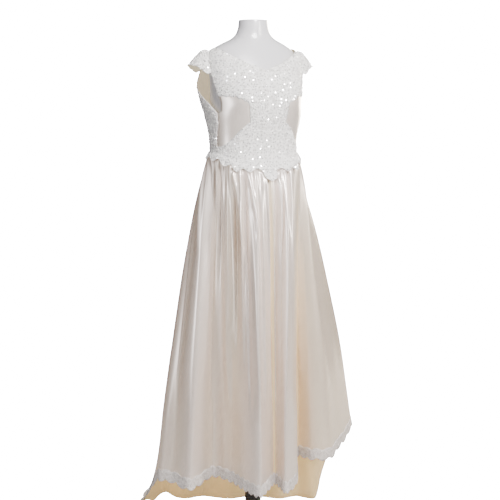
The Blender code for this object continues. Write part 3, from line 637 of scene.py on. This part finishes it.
print("stage: skirt points")
skirtStep = skirt["columnStep"]
skirtCount = int(360 / skirtStep)
skirtFirst = -51.0
skirtGrid = []
for c in range(skirtCount):
    x = skirtFirst + c * skirtStep
    column, out = skirtColumn(x)
    line = throughPoints(column, skirt["rowsEach"])
    total = len(line) - 1
    fallEnd = (len(fallRows) - 1) * skirt["rowsEach"]
    for r, point in enumerate(line):
        v = r / total
        if r <= fallEnd:
            high = min(1.0, v / 0.08) * max(0.0, 1 - v / 0.42)
            fine = skirt["fineGather"] * (1 + math.sin(math.radians(x * 67 + 30 * math.sin(math.radians(x * 7)))))
            fade = 1.0 if r < fallEnd - 8 else (fallEnd - r) / 8
            point += out * (fine * high + creaseDepth(x, v) * min(1.0, v / 0.06) * fade)
        point.z = max(point.z, 0.0012)
    skirtGrid.append(line)
skirtRows = len(skirtGrid[0])

skirtPanels = [
    ("skirtFront", "skirt_front", -51.0, 78.0, (0.95, 1.14, 0.66), (0.84, 0.048, 0.036)),
    ("skirtSideLeft", "skirt_side_left", 78.0, 147.0, (0.72, 1.42, 0.63), (0.80, 0.048, 0.036)),
    ("skirtBackLeft", "skirt_back_left", 147.0, 204.0, (0.75, 2.05, 0.95), (0.70, 0.048, 0.031)),
    ("skirtBackRight", "skirt_back_right", 204.0, 258.0, (0.62, 1.75, 0.46), (0.50, 0.048, 0.022)),
    ("skirtSideRight", "skirt_side_right", 258.0, 309.0, (0.42, 1.20, 0.33), (0.42, 0.048, 0.0185)),
]
skirtPieces = []
for title, node, first, last, flat, hemFlat in skirtPanels:
    c0 = round((first - skirtFirst) / skirtStep)
    c1 = round((last - skirtFirst) / skirtStep)

    def place(v, u, c0=c0, c1=c1):
        c = c0 + round(u * (c1 - c0))
        return skirtGrid[c % skirtCount][skirtRows - 1 - round(v * (skirtRows - 1))]
    piece = makeSheet(title, skirtRows, c1 - c0 + 1, place, dress["satinThickness"], [satin, satinInside],
                      insideSlot=1)
    # painted glow: stores the strength of the cream tint per point for the satin material
    warmth = piece.data.attributes.new("paintedFoldGlow", "FLOAT", "POINT")
    gridCount = skirtRows * (c1 - c0 + 1)
    for i in range(len(piece.data.vertices)):
        r, c = divmod(i % gridCount, c1 - c0 + 1)
        warmth.data[i].value = paintedGlowAt(skirtFirst + (c0 + c) * skirtStep, 1 - r / (skirtRows - 1))
    addPiece(piece, [node])
    skirtPieces.append(piece)
print("stage: skirt sheets")

# ---- hem lace
hemLace = {"over": 0.026, "scallop": 0.012, "waves": 52, "lift": 0.0016, "split": 2, "rows": 7}
hemPieces = []
hemShapes = []
for title, node, first, last, flat, hemFlat in skirtPanels:
    c0 = round((first - skirtFirst) / skirtStep)
    c1 = round((last - skirtFirst) / skirtStep)
    count = (c1 - c0)
    waves = max(1, round(count * skirtStep / 360 * hemLace["waves"] * 1.15))

    def place(v, u, c0=c0, count=count, waves=waves):
        c = c0 + round(u * count)
        line = skirtGrid[c % skirtCount]
        beside = skirtGrid[(c + 1) % skirtCount], skirtGrid[(c - 1) % skirtCount]
        low, high = line[-1], line[-4]
        fall = (low - high).normalized()
        normal = (beside[0][-1] - beside[1][-1]).cross(line[-2] - line[-1]).normalized()
        dip = hemLace["scallop"] * abs(math.sin(math.pi * waves * u)) ** 0.7 + 0.0005
        rise = hemLace["over"] + 0.007 * abs(math.sin(math.pi * (waves * u + 0.5)))
        over = -rise + (rise + dip) * (1 - v)
        if over >= 0:
            return low + fall * over + normal * hemLace["lift"]
        left = -over
        i = len(line) - 1
        while i > 1 and left > (line[i] - line[i - 1]).length:
            left -= (line[i] - line[i - 1]).length
            i -= 1
        t = left / max((line[i] - line[i - 1]).length, 1e-6)
        return line[i].lerp(line[i - 1], t) + normal * hemLace["lift"]
    piece = makeSheet(title.replace("skirt", "hemLace"), hemLace["rows"], count + 1, place, dress["laceThickness"],
                      [hemLaceMat])
    addPiece(piece, [node.replace("skirt", "hem_lace")])
    hemPieces.append(piece)
    hemShapes.append((title, place, waves, count))
print("stage: hem lace")

# ---- lace on the bodice
bodiceLace = {"lift": 0.0013, "bustLow": 4.1, "bustHigh": 6.6, "rows": 40}
lacePieces = {}
centre = centreSheet("laceFrontCentre", bodiceLace["lift"] - 0.0004, lambda u: 2.25, dress["laceThickness"], [lace])
addPiece(centre, ["lace_front_centre"])
lacePieces["laceFrontCentre"] = centre
for side, word in ((1, "left"), (-1, "right")):
    place = panelPlace(frontEdges, dress["princess"] - 0.001, 1.0, side, bodiceLace["lift"],
                       lambda u: bodiceLace["bustLow"] + (bodiceLace["bustHigh"] - bodiceLace["bustLow"]) * u ** 0.8
                       + 0.16 * abs(math.sin(u * 16)))
    piece = makeSheet("laceBust" + word.title(), bodiceLace["rows"], 24, place, dress["laceThickness"], [lace],
                      outward=side > 0)
    addPiece(piece, ["lace_bust_" + word])
    lacePieces[piece.name] = piece
    low, high = dress["backPrincess"] - 0.001, 1.0

    def place(v, u, side=side):
        angle, height = across(backEdges, 0.9 + (12 - 0.9) * v, low + (high - low) * u)
        point = bodyPoint(angle, height, bodiceLace["lift"])
        return (side * point.x, point.y, point.z)
    piece = makeSheet("laceSideBack" + word.title(), bodiceLace["rows"], 20, place, dress["laceThickness"], [lace],
                      outward=side < 0)
    addPiece(piece, ["lace_side_back_" + word])
    lacePieces[piece.name] = piece


def skirtReach(angle, height):
    best = 0.0
    x = angle + dress["sweep"]
    c = round((x - skirtFirst) / skirtStep)
    for k in range(-11, 12, 2):
        line = skirtGrid[(c + k) % skirtCount]
        for r in range(12):
            if line[r + 1].z <= height <= line[r].z:
                t = (height - line[r + 1].z) / max(line[r].z - line[r + 1].z, 1e-6)
                p = line[r + 1].lerp(line[r], t)
                best = max(best, math.hypot(p.x, p.y))
    return best


basque = {"columns": 360, "rows": 22, "lift": 0.0016, "clear": 0.0030}


def basquePoint(angle, share, more=0.0):
    size = abs(angle)
    high = smoothAt(basqueTop, size, 1)
    low = smoothAt(basqueEdge, size, 1)
    height = high + (low - high) * share
    seam = seamHeight(angle)
    if height >= seam:
        return bodyPoint(angle, height, basque["lift"] + more)
    around = Vector((math.sin(math.radians(angle)), -math.cos(math.radians(angle)), 0))
    above = bodyPoint(angle, seam, basque["lift"])
    reach = max(skirtReach(angle, height) + basque["clear"], math.hypot(above.x, above.y))
    return around * (reach + more) + Vector((0, 0, height))


piece = makeSheet("laceBasque", basque["rows"], basque["columns"] + 1,
                  lambda v, u: basquePoint(u * 360 - 180, 1 - v), dress["laceThickness"], [lace], closed=True)
addPiece(piece, ["lace_basque"])
lacePieces["laceBasque"] = piece
print("stage: bodice lace")

# ---- cap sleeves
sleeveTable = [
    (0.0, 77.0, 1.583, 0.012, 0.004), (0.15, 80.2, 1.612, 0.034, 0.012), (0.32, 84.9, 1.64, 0.056, 0.032),
    (0.5, 90.2, 1.655, 0.07, 0.046), (0.68, 98.0, 1.645, 0.06, 0.037), (0.85, 109.4, 1.615, 0.038, 0.018),
    (1.0, 114.3, 1.59, 0.014, 0.006),
]
sleeve = {"puff": 0.012, "scallop": 0.0035, "waves": 9, "rows": 24, "columns": 64}


def sleevePoint(side, share, t):
    angle, height, reach, drop = (smoothAt(sleeveTable, t, k) for k in (1, 2, 3, 4))
    point = bodyPoint(angle, height)
    reach += sleeve["scallop"] * abs(math.sin(math.pi * sleeve["waves"] * t)) * share ** 6
    point.x += 0.0010 + reach * share
    point.y += 0.012 * math.sin(math.pi * t) * share
    puff = sleeve["puff"] * math.sin(math.pi * t) * math.sin(math.pi * min(1.0, share * 1.15 + 0.02))
    point.z += puff - drop * share ** 1.5
    return Vector((side * point.x, point.y, point.z))


for side, word in ((1, "left"), (-1, "right")):
    piece = makeSheet("sleeve" + word.title(), sleeve["rows"], sleeve["columns"],
                      lambda v, u, side=side: sleevePoint(side, 1 - v, u), 0.001, [sleeveLaceMat, bodiceLining],
                      outward=side > 0, insideSlot=1)
    addPiece(piece, ["sleeve_" + word])
    lacePieces[piece.name] = piece
print("stage: sleeves")

# ---- cords, pearls and sequins on the lace
laceWork = {
    "cordRadius": 0.00085, "thinCord": 0.0006, "cordLift": 0.0020, "spacing": 0.0215, "small": 0.0094,
    "pearlRadius": 0.0017, "sequinRadius": 0.0018, "sequinSpacing": 0.0125, "pearlSpacing": 0.021,
    "cellAngle": 1.5, "cellHeight": 0.003,
}
# large scrolls on one half of the dress, mirrored on the other: angle, height, radius
scrollTable = [
    (7.0, 1.424, 0.0260), (27.0, 1.362, 0.0230), (47.0, 1.326, 0.0200), (12.0, 1.316, 0.0220), (9.0, 1.512, 0.0230),
    (27.0, 1.548, 0.0210), (44.0, 1.500, 0.0220), (52.0, 1.560, 0.0190), (30.0, 1.300, 0.0170), (68.0, 1.316, 0.0150),
    (88.0, 1.322, 0.0150), (110.0, 1.323, 0.0150), (132.0, 1.322, 0.0150), (154.0, 1.322, 0.0150),
    (92.0, 1.372, 0.0190), (100.0, 1.424, 0.0220), (108.0, 1.482, 0.0200), (126.0, 1.520, 0.0190),
    (122.0, 1.385, 0.0200), (66.0, 1.600, 0.0160), (124.0, 1.452, 0.0190),
]


def laceSurface(angle, height, lift):
    if height >= seamHeight(angle):
        return bodyPoint(angle, height, lift)
    around = Vector((math.sin(math.radians(angle)), -math.cos(math.radians(angle)), 0))
    above = bodyPoint(angle, seamHeight(angle), lift)
    reach = max(skirtReach(angle, height) + basque["clear"] + lift - basque["lift"], math.hypot(above.x, above.y))
    return around * reach + Vector((0, 0, height))


def cellOf(angle, height):
    return round(angle / laceWork["cellAngle"]), round(height / laceWork["cellHeight"])


laceCells = {"front": set(), "back": set(), "basque": set()}
for k in range(901):
    row = 12 * k / 900
    frontLine = edgeAt(frontEdges, row)
    backLine = edgeAt(backEdges, row)
    for j in range(141):
        u = 0.012 + 0.976 * j / 140
        bust = (u - dress["princess"]) / (1 - dress["princess"])
        low = 2.25
        if bust > 0:
            low = bodiceLace["bustLow"] + 0.1 + (bodiceLace["bustHigh"] - bodiceLace["bustLow"]) * bust ** 0.8
        if row > low and row < 11.8:
            laceCells["front"].add(cellOf(frontLine[0] + (frontLine[2] - frontLine[0]) * u,
                                          frontLine[1] + (frontLine[3] - frontLine[1]) * u))
        if row > 0.9 and row < 11.8 and u > dress["backPrincess"]:
            laceCells["back"].add(cellOf(backLine[0] + (backLine[2] - backLine[0]) * u,
                                         backLine[1] + (backLine[3] - backLine[1]) * u))
for k in range(int(180 / laceWork["cellAngle"]) + 1):
    angle = k * laceWork["cellAngle"]
    height = smoothAt(basqueEdge, angle, 1) + 0.0015
    while height < smoothAt(basqueTop, angle, 1) - 0.001:
        laceCells["basque"].add(cellOf(angle, height))
        height += 0.001
laceAll = laceCells["front"] | laceCells["back"] | laceCells["basque"]


def degreesPerMetre(angle, height):
    span = (laceSurface(angle + 1, height, 0.002) - laceSurface(angle - 1, height, 0.002)).length
    return 2 / max(span, 1e-4)


def rosette(radius, petals=5):
    outline = []
    for k in range(petals * 6 + 1):
        turn = 2 * math.pi * k / (petals * 6)
        size = radius * (0.66 + 0.34 * abs(math.cos(petals * turn / 2)) ** 0.7)
        outline.append((size * math.cos(turn), size * math.sin(turn)))
    ring = [(0.27 * radius * math.cos(k * math.pi / 4), 0.27 * radius * math.sin(k * math.pi / 4)) for k in range(9)]
    return [outline, ring]


def leafLoop(x, y, turn, length):
    line = []
    for k in range(11):
        t = k / 5 if k <= 5 else (10 - k) / 5
        wide = 0.30 * length * math.sin(math.pi * t) * (1 if k <= 5 else -1)
        line.append((x + length * t * math.cos(turn) - wide * math.sin(turn),
                     y + length * t * math.sin(turn) + wide * math.cos(turn)))
    rib = [(x, y), (x + 0.8 * length * math.cos(turn), y + 0.8 * length * math.sin(turn))]
    return [line, rib]


def leafSpray(radius):
    strokes = [[(-radius, -0.1 * radius), (-0.3 * radius, 0.12 * radius), (0.4 * radius, 0)]]
    for x, turn, size in ((-0.5, 2.2, 0.75), (-0.1, 0.9, 0.8), (-0.35, -1.1, 0.75), (0.15, -0.7, 0.7), (0.4, 0.1, 0.75)):
        strokes += leafLoop(x * radius, 0, turn, size * radius)
    return strokes


def smallScroll(radius):
    line = []
    for k in range(23):
        turn = k * 0.42
        size = radius * (1 - 0.036 * k)
        line.append((size * math.cos(turn), size * math.sin(turn)))
    return [line] + leafLoop(radius, 0, -0.9, radius * 0.6) + leafLoop(0, -radius, -2.2, radius * 0.55)


def largeScroll(radius):
    strokes = []
    lobes = 14
    for share, lobe in ((1.0, 0.07), (0.80, 0.0)):
        line = []
        for k in range(lobes * 4 + 1):
            turn = 2 * math.pi * k / (lobes * 4) * 0.93
            size = radius * (share - lobe + lobe * abs(math.sin(lobes * turn / 2)) * 2)
            line.append((size * math.cos(turn), size * math.sin(turn)))
        strokes.append(line)
    spiral = []
    for k in range(20):
        turn = 0.9 + k * 0.40
        size = radius * (0.80 - 0.022 * k)
        spiral.append((size * math.cos(turn), size * math.sin(turn)))
    strokes.append(spiral)
    for k in range(6):
        turn = k * math.pi / 3 + 0.4
        strokes += leafLoop(0.16 * radius * math.cos(turn), 0.16 * radius * math.sin(turn), turn, 0.34 * radius)
    return strokes


def cordPiece(name, strokes, radius, mat):
    data = bpy.data.curves.new(name, "CURVE")
    data.dimensions = "3D"
    data.bevel_depth = radius
    data.bevel_resolution = 0
    for stroke in strokes:
        spline = data.splines.new("POLY")
        spline.points.add(len(stroke) - 1)
        for i, point in enumerate(stroke):
            spline.points[i].co = (point[0], point[1], point[2], 1)
    piece = bpy.data.objects.new(name, data)
    bpy.context.scene.collection.objects.link(piece)
    bpy.ops.object.select_all(action="DESELECT")
    piece.select_set(True)
    bpy.context.view_layer.objects.active = piece
    bpy.ops.object.convert(target="MESH")
    piece = bpy.context.active_object
    piece.name = name
    bpy.ops.object.shade_smooth()
    piece.data.materials.append(mat)
    addPiece(piece, [])
    return piece


def layStrokes(strokes, angle, height, spin, side, lift):
    wide = degreesPerMetre(angle, height)
    done = []
    for stroke in strokes:
        line = []
        for x, y in stroke:
            a = angle + (x * math.cos(spin) - y * math.sin(spin)) * wide
            h = height + x * math.sin(spin) + y * math.cos(spin)
            if cellOf(abs(a), h) not in laceAll:
                if len(line) > 1:
                    done.append(line)
                line = []
                continue
            line.append(laceSurface(side * a, h, lift))
        if len(line) > 1:
            done.append(line)
    return done


def spreadOver(cells, spacing, jitter):
    spots = []
    heights = [c[1] for c in cells]
    height = min(heights) * laceWork["cellHeight"] + spacing * 0.4
    odd = False
    while height < max(heights) * laceWork["cellHeight"]:
        wide = degreesPerMetre(40, height) * spacing
        angle = wide * (0.75 if odd else 0.25)
        while angle < 180:
            a = angle + random.uniform(-jitter, jitter) * wide
            h = height + random.uniform(-jitter, jitter) * spacing
            if cellOf(abs(a), h) in cells:
                spots.append((abs(a), h))
            angle += wide
        height += spacing * 0.87
        odd = not odd
    return spots


for region in ("front", "back", "basque"):
    cords, thin = [], []
    for angle, height, radius in scrollTable:
        cell = cellOf(angle, height)
        if cell not in laceCells[region] or (region != "basque" and cell in laceCells["basque"]):
            continue
        spin = random.uniform(0, 6.28)
        for side in (1, -1):
            cords += layStrokes(largeScroll(radius), angle, height, spin, side, laceWork["cordLift"])
    for angle, height in spreadOver(laceCells[region], laceWork["spacing"], 0.16):
        if region != "basque" and cellOf(angle, height) in laceCells["basque"]:
            continue
        near = min(math.hypot((angle - a) / degreesPerMetre(a, h), height - h) - r for a, h, r in scrollTable)
        if near < laceWork["small"] * 0.45:
            continue
        choice = random.random()
        spin = random.uniform(0, 6.28)
        size = laceWork["small"] * random.uniform(0.85, 1.2)
        strokes = rosette(size) if choice < 0.42 else smallScroll(size) if choice < 0.68 else leafSpray(size * 1.15)
        for side in (1, -1):
            thin += layStrokes(strokes, angle, height, spin, side, laceWork["cordLift"] - 0.0002)
    title = region.title()
    cordPiece("laceScrolls" + title, cords, laceWork["cordRadius"], cordMat)
    cordPiece("laceFlowers" + title, thin, laceWork["thinCord"], cordMat)
edging = []
for k in range(720):
    a0, a1 = k / 2 - 180, (k + 1) / 2 - 180
    edging.append([laceSurface(a, smoothAt(basqueEdge, abs(a), 1) + 0.0012, 0.0022) for a in (a0, a1)])
cordPiece("basqueEdging", [[pair[0] for pair in edging] + [edging[-1][1]]], laceWork["cordRadius"], cordMat)


def onSurface(surface, p, q, strokes, spin):
    wide = (surface(p + 0.01, q) - surface(p - 0.01, q)).length / 0.02
    long = (surface(p, q + 0.01) - surface(p, q - 0.01)).length / 0.02
    done = []
    for stroke in strokes:
        line = []
        for x, y in stroke:
            a = p + (x * math.cos(spin) - y * math.sin(spin)) / wide
            b = q + (x * math.sin(spin) + y * math.cos(spin)) / long
            if 0.03 < a < 0.97 and 0.03 < b < 0.97:
                line.append(surface(a, b))
            else:
                if len(line) > 1:
                    done.append(line)
                line = []
        if len(line) > 1:
            done.append(line)
    return done


def liftedSleeve(side, lift):
    def surface(share, t):
        point = sleevePoint(side, share, t)
        wide = sleevePoint(side, share + 0.01, t) - point
        long = sleevePoint(side, share, t + 0.01) - point
        normal = wide.cross(long).normalized()
        if normal.z < 0:
            normal = -normal
        return point + normal * lift
    return surface


sleeveSpots = []
for k in range(9):
    for share in (0.28, 0.74):
        t = 0.10 + 0.80 * (k + (0.5 if share > 0.5 else 0.0)) / 8.5
        sleeveSpots.append((share, t, random.uniform(0, 6.28), random.random()))
sleeveBeads = []
for side, word in ((1, "Left"), (-1, "Right")):
    surface = liftedSleeve(side, 0.0011)
    strokes = [[surface(0.97, 0.03 + 0.94 * k / 120) for k in range(121)]]
    for share, t, spin, choice in sleeveSpots:
        motif = rosette(0.0125) if choice < 0.5 else leafSpray(0.0125) if choice < 0.75 else smallScroll(0.0115)
        strokes += onSurface(surface, share, t, motif, spin)
    cordPiece("sleeveCords" + word, strokes, laceWork["cordRadius"], cordMat)
hemCords = []
for title, place, waves, count in hemShapes:
    steps = count * 4

    def surface(u, v, place=place, count=count):
        at = u * count
        low = math.floor(at)
        first, second = place(v, min(1.0, low / count)), place(v, min(1.0, (low + 1) / count))
        return first.lerp(second, at - low)
    strokes = [[surface(k / count, 0.07) for k in range(count + 1)], [surface(k / count, 0.95) for k in range(count + 1)]]
    for wave in range(waves):
        u = (wave + 0.5) / waves
        strokes += onSurface(surface, u, 0.42, rosette(0.0095), random.uniform(0, 6.28))
        strokes += onSurface(surface, u + 0.5 / waves, 0.70, leafLoop(0, 0, 0.6, 0.012) + leafLoop(0, 0, 2.5, 0.012), 0)
    cordPiece(title.replace("skirt", "hemCords"), strokes, laceWork["thinCord"], hemCordMat)
print("stage: lace cords")


def beadPiece(name, spots, radius, round, mat):
    work = bmesh.new()
    for point, normal in spots:
        aim = normal.to_track_quat("Z", "Y").to_matrix().to_4x4()
        aim.translation = point
        if round:
            bmesh.ops.create_icosphere(work, subdivisions=2, radius=radius, matrix=aim)
        else:
            bmesh.ops.create_circle(work, cap_ends=True, segments=8, radius=radius, matrix=aim)
    mesh = bpy.data.meshes.new(name)
    work.to_mesh(mesh)
    work.free()
    piece = bpy.data.objects.new(name, mesh)
    bpy.context.scene.collection.objects.link(piece)
    for face in mesh.polygons:
        face.use_smooth = round
    mesh.materials.append(mat)
    addPiece(piece, [])
    return piece


def beadSpots(cells, spacing, lift, tilt):
    spots = []
    for angle, height in spreadOver(cells, spacing, 0.36):
        for side in (1, -1):
            point = laceSurface(side * angle, height, lift)
            wide = laceSurface(side * angle + 0.8, height, lift) - point
            up = laceSurface(side * angle, height + 0.002, lift) - point
            lean = Vector((random.uniform(-tilt, tilt), random.uniform(-tilt, tilt), random.uniform(-tilt, tilt)))
            spots.append((point, (wide.cross(up).normalized() + lean).normalized()))
    return spots


for side, word in ((1, "Left"), (-1, "Right")):
    surface = liftedSleeve(side, 0.0024)
    spots = []
    for k in range(70):
        share, t = random.uniform(0.06, 0.95), random.uniform(0.06, 0.94)
        point = surface(share, t)
        normal = (surface(share + 0.01, t) - point).cross(surface(share, t + 0.01) - point).normalized()
        spots.append((point, normal if normal.z > 0 else -normal))
    beadPiece("sleevePearls" + word, spots[:26], laceWork["pearlRadius"], True, pearlMat)
    beadPiece("sleeveSequins" + word, spots[26:], laceWork["sequinRadius"], False, sequinMat)
beadPiece("pearls", beadSpots(laceAll, laceWork["pearlSpacing"], 0.0030, 0.0), laceWork["pearlRadius"], True, pearlMat)
beadPiece("sequins", beadSpots(laceAll, laceWork["sequinSpacing"], 0.0033, 0.38), laceWork["sequinRadius"], False,
          sequinMat)
print("stage: beads")


# ---- dress form and stand
formRings = [
    (1.100, 0.140, 0.106, 0.098), (1.112, 0.149, 0.115, 0.106), (1.150, 0.153, 0.119, 0.109),
    (1.200, 0.152, 0.118, 0.107), (1.260, 0.146, 0.112, 0.101), (1.318, 0.142, 0.109, 0.098),
    (1.360, 0.144, 0.111, 0.096), (1.400, 0.149, 0.117, 0.099), (1.450, 0.155, 0.125, 0.105),
    (1.490, 0.156, 0.127, 0.109), (1.540, 0.154, 0.118, 0.111), (1.580, 0.156, 0.105, 0.109),
    (1.615, 0.161, 0.091, 0.102), (1.640, 0.1595, 0.080, 0.092), (1.656, 0.150, 0.0725, 0.083),
    (1.670, 0.134, 0.066, 0.075), (1.684, 0.108, 0.060, 0.066), (1.700, 0.0755, 0.054, 0.057),
    (1.716, 0.060, 0.051, 0.052), (1.736, 0.0525, 0.0495, 0.0495), (1.7615, 0.0495, 0.047, 0.047),
]
form = {"sides": 72, "stepsBetween": 3}


def ringAt(height):
    half, frontDeep, backDeep = (smoothAt(formRings, height, k) for k in (1, 2, 3))
    return half, (frontDeep + backDeep) / 2, (backDeep - frontDeep) / 2


def makeForm():
    heights = []
    for k in range(len(formRings) - 1):
        for j in range(form["stepsBetween"]):
            heights.append(formRings[k][0] + (formRings[k + 1][0] - formRings[k][0]) * j / form["stepsBetween"])
    heights.append(formRings[-1][0])
    bpy.ops.mesh.primitive_circle_add(vertices=form["sides"], radius=1, location=(0, 0, heights[0]), fill_type="NGON")
    piece = bpy.context.active_object
    piece.name = "formTorso"
    bpy.ops.object.transform_apply(location=True, rotation=True, scale=True)
    bpy.ops.object.mode_set(mode="EDIT")
    bpy.ops.mesh.select_all(action="SELECT")
    half, deep, shift = ringAt(heights[0])
    bpy.ops.transform.resize(value=(half, deep, 1), center_override=(0, 0, heights[0]))
    bpy.ops.transform.translate(value=(0, shift, 0))
    old = (half, deep, shift)
    for k in range(1, len(heights)):
        half, deep, shift = ringAt(heights[k])
        bpy.ops.mesh.extrude_region_move(TRANSFORM_OT_translate={"value": (0, 0, heights[k] - heights[k - 1])})
        bpy.ops.transform.resize(value=(half / old[0], deep / old[1], 1), center_override=(0, old[2], heights[k]))
        bpy.ops.transform.translate(value=(0, shift - old[2], 0))
        old = (half, deep, shift)
    bpy.ops.mesh.select_all(action="SELECT")
    bpy.ops.mesh.normals_make_consistent(inside=False)
    bpy.ops.object.mode_set(mode="OBJECT")
    mod = piece.modifiers.new("edge", "BEVEL")
    mod.width = 0.0012
    mod.segments = 2
    mod.limit_method = "ANGLE"
    mod.angle_limit = math.radians(60)
    bpy.ops.object.modifier_apply(modifier=mod.name)
    bpy.ops.object.shade_smooth_by_angle(angle=math.radians(50))
    piece.data.materials.append(formMat)
    return piece


addPiece(makeForm(), ["form_torso"])


def turnedPiece(name, radius, low, high, bevel, mat):
    bpy.ops.mesh.primitive_cylinder_add(vertices=72, radius=radius, depth=high - low, location=(0, 0, (low + high) / 2))
    piece = bpy.context.active_object
    piece.name = name
    bpy.ops.object.transform_apply(location=True, rotation=True, scale=True)
    mod = piece.modifiers.new("edge", "BEVEL")
    mod.width = bevel
    mod.segments = 3
    mod.limit_method = "ANGLE"
    mod.angle_limit = math.radians(50)
    bpy.ops.object.modifier_apply(modifier=mod.name)
    bpy.ops.object.shade_smooth_by_angle(angle=math.radians(40))
    piece.data.materials.append(mat)
    return piece


addPiece(turnedPiece("standBase", 0.150, 0.0, 0.012, 0.003, poleMat), ["stand_base"])
addPiece(turnedPiece("standPole", 0.0285, 0.0121, 1.085, 0.0004, poleMat), ["stand_pole"])
addPiece(turnedPiece("standCollar", 0.045, 1.0852, 1.0998, 0.002, poleMat), ["stand_collar"])
print("stage: form and stand")

# ---- floor, light, camera
studio = {
    "floor": (0.42, 0.41, 0.40, 1), "floorGlow": 30.0, "floorSeen": 1.0, "world": 0.12, "seen": 30.0,
    "key": 160.0, "left": 27.0, "right": 76.0, "back": 230.0,
}
bpy.ops.mesh.primitive_plane_add(size=60, location=(0, 0, -0.0005))
floor = bpy.context.active_object
floor.name = "floor"
floorMat, tree, principled = newMaterial("paleFloor", {"Base Color": studio["floor"], "Roughness": 0.9})
glow = shadeNode(tree, "ShaderNodeEmission", {}, {"Color": (1, 1, 1, 1), "Strength": studio["floorGlow"]})
mixer = tree.nodes.new("ShaderNodeMixShader")
linkTo(tree, shadeNode(tree, "ShaderNodeLightPath") * studio["floorSeen"], mixer, 0)
tree.links.new(principled.outputs[0], mixer.inputs[1])
tree.links.new(glow.socket, mixer.inputs[2])
tree.links.new(mixer.outputs[0], tree.nodes["Material Output"].inputs[0])
floor.data.materials.append(floorMat)
world = bpy.data.worlds.new("studio")
bpy.context.scene.world = world
world.use_nodes = True
tree = world.node_tree
tree.nodes["Background"].inputs[0].default_value = (1, 1, 1, 1)
seen = shadeNode(tree, "ShaderNodeLightPath")
linkTo(tree, seen * (studio["seen"] - studio["world"]) + studio["world"], tree.nodes["Background"], "Strength")


def areaLight(name, place, target, size, power, colour):
    data = bpy.data.lights.new(name, "AREA")
    data.shape = "RECTANGLE"
    data.size, data.size_y = size
    data.energy = power
    data.color = colour
    light = bpy.data.objects.new(name, data)
    light.location = place
    light.rotation_euler = (Vector(target) - Vector(place)).to_track_quat("-Z", "Y").to_euler()
    bpy.context.scene.collection.objects.link(light)


areaLight("key", tuple(placeAt(0.8, -1.7, 2.75)), (0, 0, 1.45), (0.7, 0.7), studio["key"], (1, 0.985, 0.97))
areaLight("left", tuple(placeAt(-1.9, -1.5, 1.35)), (0, 0, 1.0), (0.22, 1.3), studio["left"], (0.97, 0.98, 1))
areaLight("right", tuple(placeAt(2.0, -1.5, 2.0)), (0, 0, 1.3), (0.35, 1.2), studio["right"], (1, 0.96, 0.90))
areaLight("back", tuple(placeAt(1.4, 3.0, 1.8)), (0, 0.1, 0.6), (1.4, 1.4), studio["back"], (1, 0.90, 0.74))

view = {"distance": 3.8, "height": 1.5, "tilt": 7.87, "lens": 79.2, "aside": -0.0104}
cameraData = bpy.data.cameras.new("camera")
cameraData.lens = view["lens"]
cameraData.sensor_width = 36
camera = bpy.data.objects.new("camera", cameraData)
camera.location = placeAt(view["aside"], -view["distance"], view["height"])
camera.rotation_euler = (math.radians(90 - view["tilt"]), 0, math.radians(-dress["sweep"]))
bpy.context.scene.collection.objects.link(camera)
bpy.context.scene.camera = camera

# ---- flat cut sizes of each sheet: width, length, area; the first loop below only looks them up
cutTable = {
    "bodiceFrontCentre": (0.21, 0.35, 0.057), "bodiceSideFront": (0.17, 0.36, 0.039),
    "bodiceSideBack": (0.16, 0.33, 0.041), "bodiceBack": (0.12, 0.27, 0.028),
    "laceFrontCentre": (0.17, 0.30, 0.039), "laceBust": (0.13, 0.17, 0.0155), "laceSideBack": (0.15, 0.30, 0.038),
    "laceBasque": (1.05, 0.15, 0.070), "sleeve": (0.21, 0.075, 0.011),
}
for piece in list(bodicePieces.values()) + list(lacePieces.values()):
    title = piece.name.replace("Left", "").replace("Right", "")
    wide, long, area = cutTable[title]
    "hung" if "sleeve" in title else "stretched"
    ["form_torso"] if "bodice" in title else ["bodice_front_centre"]
for piece in skirtPieces + hemPieces + list(lacePieces.values()) + list(bodicePieces.values()):
    print("area", piece.name, round(clothArea(piece), 4))
